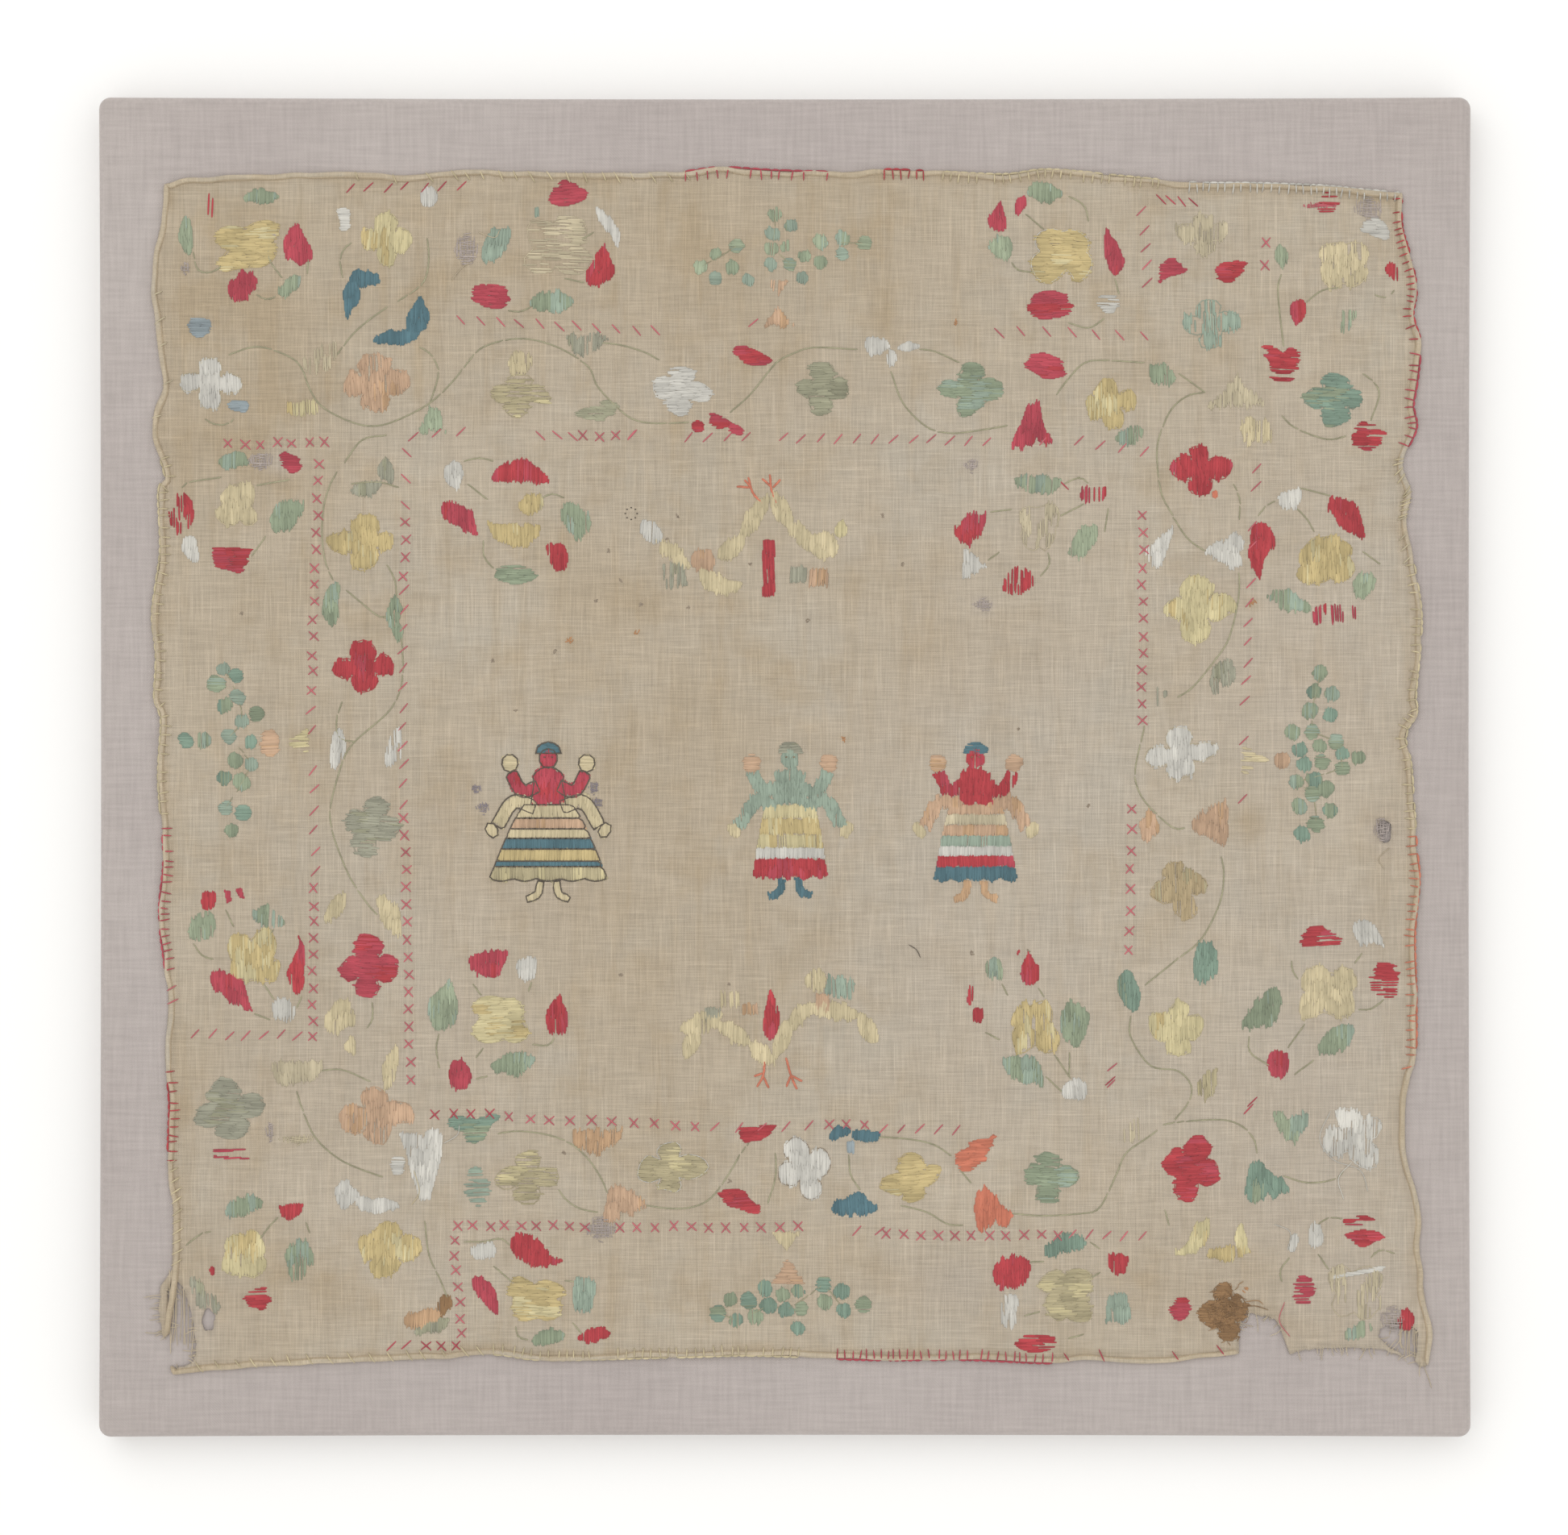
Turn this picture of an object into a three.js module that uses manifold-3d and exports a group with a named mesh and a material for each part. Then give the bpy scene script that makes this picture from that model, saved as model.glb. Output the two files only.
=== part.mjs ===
// An embroidered linen cloth lying on a padded, fabric-covered mount board.
// Millimetres. +Z is up, +X runs along the top edge of the cloth, +Y towards that edge.
// The origin is the middle of the board's underside.

import * as THREE from 'three';
import { mergeVertices } from 'three/addons/utils/BufferGeometryUtils.js';
import Module from 'manifold-3d';

const wasm = await Module();
wasm.setup();

// Mount board
const boardWide = 512;
const boardTall = 500;
const boardThick = 18;
const boardCorner = 4.5;     // radius of the corners, seen from above
const boardRound = 4;        // the pad rounds the upper edge
const boardBackRound = 1.5;  // the cover turns sharply on to the back
const boardBow = 0.7;        // the pulled cover draws each side in by this much at its middle

// Cloth
const layGap = 0.3;          // clearance between the board and the cloth
const clothThick = 1.0;
const hemWide = 3.3;
const hemRise = 0.75;        // the rolled hem stands this much above the cloth
const motifRise = 0.4;       // thickness of the filled stitching
const edgeStep = 10;         // spacing of the points along an edge
const clothBase = boardThick + layGap;
const clothTop = clothBase + clothThick;

// Each edge of the cloth, as it strays: how far along it, and where the edge lies there.
const topEdge = [           // [x, y], left to right
  [-230.5, 217], [-220, 219], [-190, 220.4], [-166, 221.4], [-142, 220.2], [-122, 221.8], [-82, 221.2],
  [-42, 221.2], [-24, 223], [-4, 221.9], [20, 221.3], [40, 222.2], [80, 220.4], [98, 222.2], [128, 219.5],
  [152, 217.4], [176, 217.1], [200, 216.2], [214, 214.8], [229.5, 213.5],
];
const rightEdge = [         // [y, x], downwards
  [213.5, 229.5], [201, 229.6], [189, 233], [177, 235], [168, 233.6], [158, 236.4], [144, 235.3], [134, 233.7],
  [126, 235], [113, 229.6], [102, 233], [90, 231.2], [71, 234.8], [53, 236.8], [27, 234.6], [20, 235.2],
  [12, 230.8], [0, 233], [-30, 235], [-42, 236], [-62, 234.3], [-84, 234.8], [-107, 234.6], [-117, 231.9],
  [-132, 230.8], [-147, 231.6], [-157, 234.8], [-168, 236.7], [-178, 236.1], [-190, 237.2], [-200, 238.6],
  [-210, 240.6],
];
const leftEdge = [          // [y, x], upwards
  [-187, -228], [-164, -227.7], [-147, -229.4], [-124, -228.9], [-107, -230.6], [-85, -229.4], [-56, -232.6],
  [-33, -231], [-5, -233], [18, -232], [25, -234.5], [41, -233.8], [56, -235.3], [68, -233.9], [82, -232.2],
  [103, -233], [108.5, -230.5], [123, -234.9], [133, -234.6], [142, -231.2], [154, -232.8], [183, -235.3],
  [207, -231.2], [217, -230.5],
];
const bottomEdge = [        // [x, y], right to left
  [169, -218.3], [156, -219.5], [136, -221.8], [111, -220.4], [98, -221.6], [68, -220.4], [31, -220.4],
  [-10, -218.8], [-40, -219.4], [-89, -220.4], [-108, -218.4], [-136, -220.4], [-193, -222.8], [-222, -225.4],
];

// Where the cloth has torn away: the raw edges, in order round the cloth.
const rightTear = [         // [x, y], from the loose end of the right hem back to the lower edge
  [238.6, -223], [235, -221.5], [235.2, -209.6], [226, -207], [221, -212], [231, -220], [220.7, -216.5],
  [197, -216.5], [188, -218.3],
];
const lowerNotch = [        // [x, y], right to left
  [184.7, -209.6], [182.3, -205.7], [175.4, -203.6], [170.9, -203.6], [169, -209.6],
];
const leftTear = [          // [x, y], from the curled lower hem up and out along the hanging strip of hem
  [-226.4, -223.6], [-220, -221], [-219.5, -211], [-221.3, -202], [-224, -194], [-227.4, -191], [-230, -196],
  [-229.4, -203.5], [-231, -212.6], [-232.8, -203], [-232.2, -193],
];

// Worn holes right through the cloth.
const holes = [
  { x: 223.4, y: -23.8, wide: 4.6, tall: 8.6 },
  { x: -214.4, y: -205.5, wide: 4.6, tall: 8 },
];

// The filled blossoms: centre, size across and up, turn in degrees, and the side the four lobes face.
const blossomColumns = ['x', 'y', 'wide', 'tall', 'turn', 'lobes'];
const blossoms = [
  [-199.5, 194, 24, 18.5, 8, 'corners'], [-203.5, 97.5, 17.5, 18, 0, 'corners'],
  [-85, 194, 26, 22, 0, 'corners'], [103.5, 191.5, 21.5, 21, 0, 'corners'],
  [208.5, 187, 20, 18.5, 0, 'corners'], [201.5, 77, 23.5, 19.5, 6, 'corners'],
  [202, -84, 21, 21.5, -5, 'corners'], [94, 89, 16.5, 20, 0, 'corners'],
  [-105, -94, 22.5, 20.5, 0, 'corners'], [92.5, -96.5, 18.5, 21.5, 0, 'corners'],
  [-198, -71, 21, 20, 6, 'corners'], [-201, -181.5, 17.5, 18, 0, 'corners'],
  [105, -197, 21.5, 22, 0, 'corners'], [-92, -198.5, 22.5, 17.5, 0, 'corners'],
  [-148.5, 196, 21.5, 24, 0, 'sides'], [-214, 143, 21, 20, 0, 'sides'],
  [-153, 142.5, 27, 23, 0, 'sides'], [-99, 138.5, 23.5, 16.5, 0, 'sides'],
  [-39, 140.5, 24.5, 19.5, -6, 'sides'], [14, 141, 21, 20.5, 0, 'sides'],
  [69, 140.5, 23.5, 21, 0, 'sides'], [121, 135, 22, 22, 14, 'sides'],
  [156.5, 199.5, 21, 17, 0, 'sides'], [158.5, 165, 23.5, 20, 0, 'sides'],
  [204.5, 137.5, 25.5, 20, 0, 'sides'], [154, 111, 23.5, 22.5, 0, 'sides'],
  [153, 59, 28, 24, 0, 'sides'], [147, 4.5, 27.5, 21, 8, 'sides'],
  [146.5, -44.5, 23, 22.5, 18, 'sides'], [146.5, -97, 23, 24.5, 0, 'sides'],
  [151.5, -149, 23.5, 28, -14, 'sides'], [212, -137, 23, 24.5, 24, 'sides'],
  [163.5, -202.5, 18.5, 24, 12, 'sides'], [-95.5, -152.5, 24.5, 21, 0, 'sides'],
  [-42.5, -149, 25, 21, 0, 'sides'], [7.5, -149.5, 22.5, 24.5, 20, 'sides'],
  [47.5, -154, 25, 19, 12, 'sides'], [98.5, -152.5, 23, 20, 0, 'sides'],
  [-156.5, 84, 25.5, 21.5, 0, 'sides'], [-156.5, 37, 24.5, 22, 4, 'sides'],
  [-154, -21.5, 21.5, 22.5, -18, 'sides'], [-155, -75, 22, 24, 0, 'sides'],
  [-207, -128, 27.5, 22.5, 12, 'sides'], [-152, -130, 27.5, 24.5, 8, 'sides'],
  [-148.5, -179.5, 26, 22, 0, 'sides'],
];

// The filled leaves, buds and hearts: form, centre, length, width, and the way the tip points in degrees.
const leafColumns = ['form', 'x', 'y', 'long', 'wide', 'turn'];
const leaves = [
  ['leaf', -195, 211.5, 14.5, 6.5, 0], ['drop', -181.5, 195, 16, 9.5, 100], ['drop', -202.5, 180, 13.5, 11, 80],
  ['moon', -206.5, 77, 16, 9, 270], ['leaf', -185, 93.5, 17, 9, 45], ['leaf', -81, 213, 14.5, 9, 10],
  ['leaf', -106.5, 194, 17, 9, 55], ['leaf', -66.5, 201, 18, 5.5, 303], ['drop', -68.5, 186.5, 15.5, 10, 75],
  ['bud', -109.5, 175.5, 12.5, 9.5, 0], ['leaf', -86.5, 172.5, 17.5, 7, 0], ['leaf', 96.5, 213, 15, 7, 0],
  ['leaf', 81, 193.5, 11, 8.5, 110], ['drop', 122, 191.5, 17, 6.5, 100], ['bud', 98, 172, 15.5, 9.5, 0],
  ['leaf', 219.5, 200, 14.5, 6, 330], ['leaf', 207.5, 166.5, 13, 8, 20], ['drop', 209.5, 92.5, 21, 11, 315],
  ['drop', 177.5, 81, 20.5, 9.5, 262], ['leaf', 187.5, 61.5, 18, 8, 350], ['leaf', 215, 68, 10.5, 8, 70],
  ['moon', 199, -63, 16, 8.5, 90], ['drop', 217.5, -62.5, 14.5, 8.5, 320], ['bud', 223, -79, 11, 13, 0],
  ['leaf', 177.5, -90.5, 21, 10, 48], ['bud', 184.5, -110, 8, 11.5, 0], ['leaf', 205.5, -101.5, 17, 9.5, 40],
  ['drop', 70.5, 89, 17, 8.5, 45], ['wedge', 68.5, 76, 13, 10.5, 120], ['bud', 86.5, 70, 11, 9.5, 0],
  ['leaf', 111, 84.5, 17.5, 8.5, 45], ['bud', -123.5, 108.5, 9, 9.5, 0], ['moon', -98, 110, 22, 8, 90],
  ['drop', -120.5, 92.5, 19, 10, 315], ['leaf', -78.5, 91, 14, 9.5, 110], ['bud', -84.5, 78, 9.5, 9, 0],
  ['leaf', -100, 72, 16, 8.5, 165], ['drop', -109.5, -72, 15.5, 11.5, 25], ['drop', -84, -91.5, 15.5, 9, 85],
  ['leaf', -126.5, -89, 19.5, 10, 75], ['bud', -120.5, -114, 8, 10.5, 0], ['leaf', -101.5, -111, 17, 9, 15],
  ['drop', 91.5, -75, 13, 7.5, 95], ['leaf', 107.5, -95.5, 20, 10, 100], ['leaf', 88.5, -113, 19, 9.5, 325],
  ['leaf', -216.5, -59.5, 14, 10, 50], ['leaf', -192, -55.5, 13, 8, 340], ['drop', -181, -73, 21.5, 6.5, 90],
  ['drop', -205, -84, 22, 10, 312], ['leaf', -202, -164, 16, 8, 20], ['leaf', -181, -183.5, 17, 9, 80],
  ['leaf', -216, -197, 17, 7, 315], ['bud', -196, -198, 10.5, 8, 0], ['bud', 84.5, -188, 13, 11.5, 0],
  ['leaf', 104.5, -179, 18, 7.5, 10], ['leaf', 123.5, -201, 15, 9.5, 60], ['leaf', 84, -202.5, 14.5, 7, 280],
  ['drop', -91.5, -180.5, 22.5, 8.5, 335], ['drop', -110.5, -196.5, 16.5, 7, 298],
  ['leaf', -74, -196.5, 13, 9, 100], ['leaf', -88, -212.5, 14, 6.5, 10], ['drop', -162.5, 174, 16, 6, 262],
  ['leaf', -144.5, 160, 17, 6, 190], ['leaf', -137, 167, 17, 7.5, 82], ['fan', -74.5, 156.5, 9, 17, 90],
  ['leaf', -70, 133, 17.5, 6.5, 10], ['leaf', -12.5, 153, 16.5, 7, 350], ['leaf', 97, 149, 18, 8.5, 345],
  ['fan', 92, 127.5, 16, 16, 270], ['leaf', 128.5, 122.5, 11, 8, 20], ['drop', 143, 184.5, 11.5, 8, 230],
  ['drop', 166.5, 186, 14.5, 8, 20], ['fan', 185, 149, 14, 15, 90], ['bud', 216.5, 123, 12, 10.5, 0],
  ['wedge', 168.5, 140, 22.5, 12, 90], ['bud', 176, 125, 11.5, 9.5, 0], ['drop', 140, 82.5, 17, 8.5, 60],
  ['fan', 163.5, 80, 14, 13, 0], ['leaf', 163, 33.5, 16, 8, 65], ['fan', 158, -21, 13, 17, 0],
  ['leaf', 156.5, -72.5, 17.5, 10.5, 75], ['leaf', 128.5, -83.5, 18.5, 8, 100],
  ['fan', 177.5, -153.5, 15, 16, 290], ['fan', 188, -134.5, 12, 13, 90], ['leaf', 152.5, -175.5, 21, 7, 48],
  ['leaf', 166, -181.5, 17, 6, 5], ['fan', -115.5, -134.5, 11.5, 18, 90], ['leaf', -115, -156.5, 14, 8.5, 280],
  ['moon', -70, -139, 19.5, 8.5, 270], ['fan', -61.5, -161.5, 12.5, 17.5, 290],
  ['moon', -11, -136.5, 14.5, 7, 270], ['leaf', -17, -162, 18.5, 8, 335], ['leaf', 25.5, -163.5, 18.5, 8, 5],
  ['drop', 71.5, -142.5, 21, 9, 33], ['fan', 76, -163.5, 16, 16, 290], ['leaf', -168, 60, 16.5, 7.5, 88],
  ['leaf', -144.5, 55.5, 19.5, 5, 95], ['drop', -163.5, -158, 12, 8, 120],
  ['leaf', -152.5, -162.5, 17.5, 7, 352], ['fan', -134.5, -149, 28, 17, 90], ['leaf', -134.5, -205, 17, 7, 10],
];

// A shape's outline goes anticlockwise round its own middle, with its tip along +X.
const lobedOutline = (row, facing) => {
  const lobeOut = row.lobes === 'corners' ? 0.54 : 0.585;
  const lobeRadius = row.lobes === 'corners' ? 0.46 : 0.415;
  const cornerReach = 0.842;   // lobes that face the corners reach this share of the half size
  const pointCount = 16;
  const scale = row.lobes === 'corners' ? 1 / cornerReach : 1;
  const outline = [];
  for (let i = 0; i < pointCount; i++) {
    const angle = (i * 2 * Math.PI) / pointCount;
    const quarter = Math.PI / 2;
    const fromLobe = angle - quarter * Math.round(angle / quarter);
    const across = lobeOut * Math.sin(fromLobe);
    const radius = lobeOut * Math.cos(fromLobe) + Math.sqrt(lobeRadius ** 2 - across ** 2);
    outline.push(new THREE.Vector2(
      radius * Math.cos(angle + facing) * scale * row.wide / 2,
      radius * Math.sin(angle + facing) * scale * row.tall / 2,
    ));
  }
  return outline;
};

// Half the width of each leaf form at t, from the base (0) to the tip (1), as a share of its full half width.
const dropBelly = 0.34;
const halfWidths = {
  leaf: (t) => Math.sin(Math.PI * t) ** 0.8,
  drop: (t) => (t < dropBelly
    ? Math.sqrt(1 - (1 - t / dropBelly) ** 2)
    : Math.cos((Math.PI / 2) * (t - dropBelly) / (1 - dropBelly)) ** 1.2),
  bud: (t) => Math.sqrt(Math.max(0, 1 - (2 * t - 1) ** 2)),
};

const leafOutline = (row) => {
  const halfWidth = halfWidths[row.form];
  const stations = 4;
  const outline = [];
  for (let i = 0; i <= stations; i++) {
    const t = i / stations;
    outline.push(new THREE.Vector2((t - 0.5) * row.long, -halfWidth(t) * row.wide / 2));
  }
  for (let i = stations - 1; i >= 1; i--) {
    const t = i / stations;
    outline.push(new THREE.Vector2((t - 0.5) * row.long, halfWidth(t) * row.wide / 2));
  }
  return outline;
};

// A half moon bulges the way it is turned; a fan opens that way from a narrow root; a wedge is a triangle.
const moonOutline = (row) => {
  const stations = 6;
  const outline = [];
  for (let i = 0; i <= stations; i++) {
    const angle = -Math.PI / 2 + (Math.PI * i) / stations;
    outline.push(new THREE.Vector2(
      (Math.cos(angle) - 0.5) * row.wide,
      Math.sin(angle) * row.long / 2,
    ));
  }
  return outline;
};

const fanOutline = (row) => {
  const fanProfile = [[-0.5, -0.12], [0.15, -0.42], [0.46, -0.5], [0.5, -0.22], [0.38, 0], [0.5, 0.22],
    [0.46, 0.5], [0.15, 0.42], [-0.5, 0.12]];
  return fanProfile.map(([along, across]) => new THREE.Vector2(along * row.long, across * row.wide));
};

const wedgeOutline = (row) => [
  new THREE.Vector2(row.wide / 2, 0),
  new THREE.Vector2(-row.wide / 2, row.long / 2),
  new THREE.Vector2(-row.wide / 2, -row.long / 2),
];

const outlineOf = (row) => {
  if (row.form === 'moon') return moonOutline(row);
  if (row.form === 'fan') return fanOutline(row);
  if (row.form === 'wedge') return wedgeOutline(row);
  return leafOutline(row);
};

const named = (columns, rows) => rows.map(
  (row) => Object.fromEntries(columns.map((column, i) => [column, row[i]])),
);

const placeOutline = (outline, row) => {
  const turn = (row.turn * Math.PI) / 180;
  return outline.map((point) => point.clone().rotateAround(new THREE.Vector2(), turn)
    .add(new THREE.Vector2(row.x, row.y)));
};

// A smooth line through the rows of a table, with points edgeStep apart.
const smoothLine = (points) => {
  const curve = new THREE.CatmullRomCurve3(points.map(([x, y]) => new THREE.Vector3(x, y, 0)), false, 'centripetal');
  const count = Math.max(2, Math.round(curve.getLength() / edgeStep));
  return curve.getSpacedPoints(count).map((point) => new THREE.Vector2(point.x, point.y));
};

const swapped = (rows) => rows.map(([y, x]) => [x, y]);
const asPoints = (rows) => rows.map(([x, y]) => new THREE.Vector2(x, y));

const prism = (outline, base, height) => {
  const geometry = new THREE.ExtrudeGeometry(new THREE.Shape(outline), { depth: height, bevelEnabled: false });
  geometry.translate(0, 0, base);
  return geometry;
};

// A closed body through rings of points, all with the same number of points, capped at both ends.
const ringBody = (rings) => {
  const count = rings[0].length;
  const positions = rings.flat().flatMap((point) => [point.x, point.y, point.z]);
  const index = [];
  for (let r = 0; r + 1 < rings.length; r++) {
    for (let i = 0; i < count; i++) {
      const next = (i + 1) % count;
      const a = r * count + i;
      const b = r * count + next;
      index.push(a, b, b + count, a, b + count, a + count);
    }
  }
  const geometry = new THREE.BufferGeometry();
  const last = (rings.length - 1) * count;
  const middleOf = (ring) => ring.reduce((sum, point) => sum.add(point), new THREE.Vector3()).divideScalar(count);
  const firstMiddle = positions.length / 3;
  positions.push(...middleOf(rings[0]).toArray(), ...middleOf(rings[rings.length - 1]).toArray());
  for (let i = 0; i < count; i++) {
    const next = (i + 1) % count;
    index.push(firstMiddle, next, i);
    index.push(firstMiddle + 1, last + i, last + next);
  }
  geometry.setAttribute('position', new THREE.Float32BufferAttribute(positions, 3));
  geometry.setIndex(index);
  return geometry;
};

// Boolean cuts and joins
const toSolid = (geometry) => {
  const bare = geometry.clone();
  bare.deleteAttribute('normal');
  bare.deleteAttribute('uv');
  const merged = mergeVertices(bare, 1e-4);
  return new wasm.Manifold(new wasm.Mesh({
    numProp: 3,
    vertProperties: new Float32Array(merged.attributes.position.array),
    triVerts: new Uint32Array(merged.index.array),
  }));
};

const toGeometry = (solid) => {
  const mesh = solid.getMesh();
  const geometry = new THREE.BufferGeometry();
  geometry.setAttribute('position', new THREE.BufferAttribute(new Float32Array(mesh.vertProperties), 3));
  geometry.setIndex(new THREE.BufferAttribute(new Uint32Array(mesh.triVerts), 1));
  return geometry;
};

// Mount board: rounded outlines stacked from the back to the padded front edge.
const boardOutline = (inset, z) => {
  const wide = boardWide / 2 - inset;
  const tall = boardTall / 2 - inset;
  const radius = Math.max(boardCorner - inset, 0.8);
  const cornerPoints = 5;
  const sidePoints = 7;
  const corners = [[1, -1, -90], [1, 1, 0], [-1, 1, 90], [-1, -1, 180]];   // side in x, side in y, first angle
  const ring = [];
  for (const [sideX, sideY, firstAngle] of corners) {
    for (let i = 0; i < cornerPoints; i++) {
      const angle = ((firstAngle + (90 * i) / (cornerPoints - 1)) * Math.PI) / 180;
      ring.push(new THREE.Vector3(
        sideX * (wide - radius) + radius * Math.cos(angle),
        sideY * (tall - radius) + radius * Math.sin(angle),
        z,
      ));
    }
    const start = ring[ring.length - 1];
    const upward = sideX > 0 && sideY < 0;
    const leftward = sideX > 0 && sideY > 0;
    const downward = sideX < 0 && sideY > 0;
    const end = new THREE.Vector3(
      upward ? wide : leftward ? -(wide - radius) : downward ? -wide : wide - radius,
      upward ? tall - radius : leftward ? tall : downward ? -(tall - radius) : -tall,
      z,
    );
    for (let i = 1; i <= sidePoints; i++) {
      const t = i / (sidePoints + 1);
      const point = new THREE.Vector3().lerpVectors(start, end, t);
      const drawIn = boardBow * Math.sin(Math.PI * t) ** 2;
      if (upward || downward) point.x -= Math.sign(point.x) * drawIn;
      else point.y -= Math.sign(point.y) * drawIn;
      ring.push(point);
    }
  }
  return ring;
};

const makeBoard = () => {
  const roundSteps = 4;
  const rings = [];
  for (let i = 0; i <= 2; i++) {
    const angle = (i * Math.PI) / 4;
    rings.push(boardOutline(boardBackRound * (1 - Math.sin(angle)), boardBackRound * (1 - Math.cos(angle))));
  }
  for (let i = 0; i <= roundSteps; i++) {
    const angle = (i * Math.PI) / 2 / roundSteps;
    rings.push(boardOutline(boardRound * (1 - Math.cos(angle)), boardThick - boardRound * (1 - Math.sin(angle))));
  }
  return ringBody(rings);
};

// Cloth: the flat sheet with its torn outline, the rolled hem on its edges and the filled motifs.
const topLine = smoothLine(topEdge);
const rightLine = smoothLine(swapped(rightEdge));
const bottomLine = smoothLine(bottomEdge);
const leftLine = smoothLine(swapped(leftEdge));

const sheetOutline = () => [
  ...topLine, ...rightLine.slice(1), ...asPoints(rightTear), ...asPoints(lowerNotch), ...bottomLine,
  ...asPoints(leftTear), ...leftLine.slice(0, -1),
].reverse();

// The hem's section, from the edge of the cloth inwards: distance in, height above the sheet's underside.
const hemSection = [
  [-0.2, 0.2], [-0.2, clothThick + 0.2], [0.8, clothThick + hemRise], [2.4, clothThick + hemRise],
  [hemWide, 0.2],
];

const makeHem = (line) => {
  const rings = line.map((point, i) => {
    const before = line[Math.max(i - 1, 0)];
    const after = line[Math.min(i + 1, line.length - 1)];
    const inward = new THREE.Vector2().subVectors(after, before).normalize();
    inward.set(inward.y, -inward.x);    // the cloth lies on the right of each edge line
    return hemSection.map(([along, up]) => new THREE.Vector3(
      point.x + inward.x * along,
      point.y + inward.y * along,
      clothBase + up,
    ));
  });
  return ringBody(rings);
};

const makeCloth = () => {
  let solid = toSolid(prism(sheetOutline(), clothBase, clothThick));
  for (const line of [topLine, rightLine, bottomLine, leftLine]) solid = solid.add(toSolid(makeHem(line)));
  const rootDepth = 0.4;
  const raise = (outline) => prism(outline, clothTop - rootDepth, rootDepth + motifRise);
  for (const row of named(blossomColumns, blossoms)) {
    const facing = row.lobes === 'corners' ? Math.PI / 4 : 0;
    solid = solid.add(toSolid(raise(placeOutline(lobedOutline(row, facing), row))));
  }
  for (const row of named(leafColumns, leaves)) {
    solid = solid.add(toSolid(raise(placeOutline(outlineOf(row), row))));
  }
  const holeSides = 12;
  const through = 3;
  for (const hole of holes) {
    const cutter = new THREE.CylinderGeometry(0.5, 0.5, through, holeSides);
    cutter.rotateX(Math.PI / 2);
    cutter.scale(hole.wide, hole.tall, 1);
    cutter.translate(hole.x, hole.y, clothBase + clothThick / 2);
    solid = solid.subtract(toSolid(cutter));
  }
  return toGeometry(solid);
};

const boardCover = new THREE.MeshStandardMaterial({ color: 0xb9b0ae, roughness: 0.95, metalness: 0 });
const linen = new THREE.MeshStandardMaterial({ color: 0xbaae98, roughness: 0.95, metalness: 0 });

const group = new THREE.Group();

const board = new THREE.Mesh(makeBoard(), boardCover);
board.name = 'mount_board';
group.add(board);

const cloth = new THREE.Mesh(makeCloth(), linen);
cloth.name = 'cloth';
group.add(cloth);

export default group;
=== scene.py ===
import math
import random

import bpy
import numpy as np
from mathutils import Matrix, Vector
from mathutils.geometry import delaunay_2d_cdt


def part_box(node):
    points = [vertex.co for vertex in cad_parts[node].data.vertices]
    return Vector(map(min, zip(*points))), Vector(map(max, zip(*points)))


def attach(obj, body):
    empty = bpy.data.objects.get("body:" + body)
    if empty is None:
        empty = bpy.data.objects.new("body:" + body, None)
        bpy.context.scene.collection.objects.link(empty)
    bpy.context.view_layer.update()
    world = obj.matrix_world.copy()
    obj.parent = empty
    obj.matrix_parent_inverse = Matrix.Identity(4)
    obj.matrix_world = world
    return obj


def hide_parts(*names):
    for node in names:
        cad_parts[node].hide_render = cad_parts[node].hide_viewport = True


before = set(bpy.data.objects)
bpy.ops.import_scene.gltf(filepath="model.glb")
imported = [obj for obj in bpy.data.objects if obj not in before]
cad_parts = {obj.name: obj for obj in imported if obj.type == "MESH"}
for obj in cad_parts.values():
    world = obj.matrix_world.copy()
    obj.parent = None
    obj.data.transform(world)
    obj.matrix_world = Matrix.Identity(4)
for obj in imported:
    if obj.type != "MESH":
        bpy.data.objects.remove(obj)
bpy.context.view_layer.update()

# Everything is worked out in mm, and scaled when a mesh is made
mm = 0.001
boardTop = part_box("mount_board")[1][2] / mm
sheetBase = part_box("cloth")[0][2] / mm
rng = random.Random(23)


def srgb(colour):
    levels = [c / 255 for c in colour]
    linear = [((v + 0.055) / 1.055) ** 2.4 if v > 0.04 else v / 12.92 for v in levels]
    return (*linear, 1.0)


def addMesh(name, points, faces):
    mesh = bpy.data.meshes.new(name)
    mesh.from_pydata([tuple(p) for p in np.asarray(points) * mm], [], faces)
    mesh.update()
    mesh.polygons.foreach_set("use_smooth", [True] * len(mesh.polygons))
    thing = bpy.data.objects.new(name, mesh)
    bpy.context.scene.collection.objects.link(thing)
    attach(thing, "root")
    return thing


def addLayer(thing, name, values):
    layer = thing.data.attributes.new(name, "FLOAT", "POINT")
    layer.data.foreach_set("value", np.asarray(values, np.float32))


# Camera, light and floor
studio = {
    "lens": 90, "sensor": 36, "clipEnd": 50, "frameWide": 583.5, "frameAbove": 1, "look": (-0.3, -0.15),
    "floorSize": 6.0, "floorDrop": 0.0003, "floorRoughness": 0.9, "floorColour": (250, 250, 249),
    "worldColour": (255, 254, 252), "worldStrength": 0.93,
    "keyPlace": (-900, 1300, 2300), "keySize": 2.2, "keyPower": 14,
    "fillPlace": (1500, -900, 2000), "fillSize": 2.6, "fillPower": 6,
}


def setCamera():
    camera = bpy.data.cameras.new("camera")
    camera.lens = studio["lens"]
    camera.sensor_width = studio["sensor"]
    camera.clip_end = studio["clipEnd"]
    view = bpy.data.objects.new("camera", camera)
    bpy.context.scene.collection.objects.link(view)
    high = studio["frameWide"] * camera.lens / camera.sensor_width + boardTop + studio["frameAbove"]
    view.location = (studio["look"][0] * mm, studio["look"][1] * mm, high * mm)
    bpy.context.scene.camera = view


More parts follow.
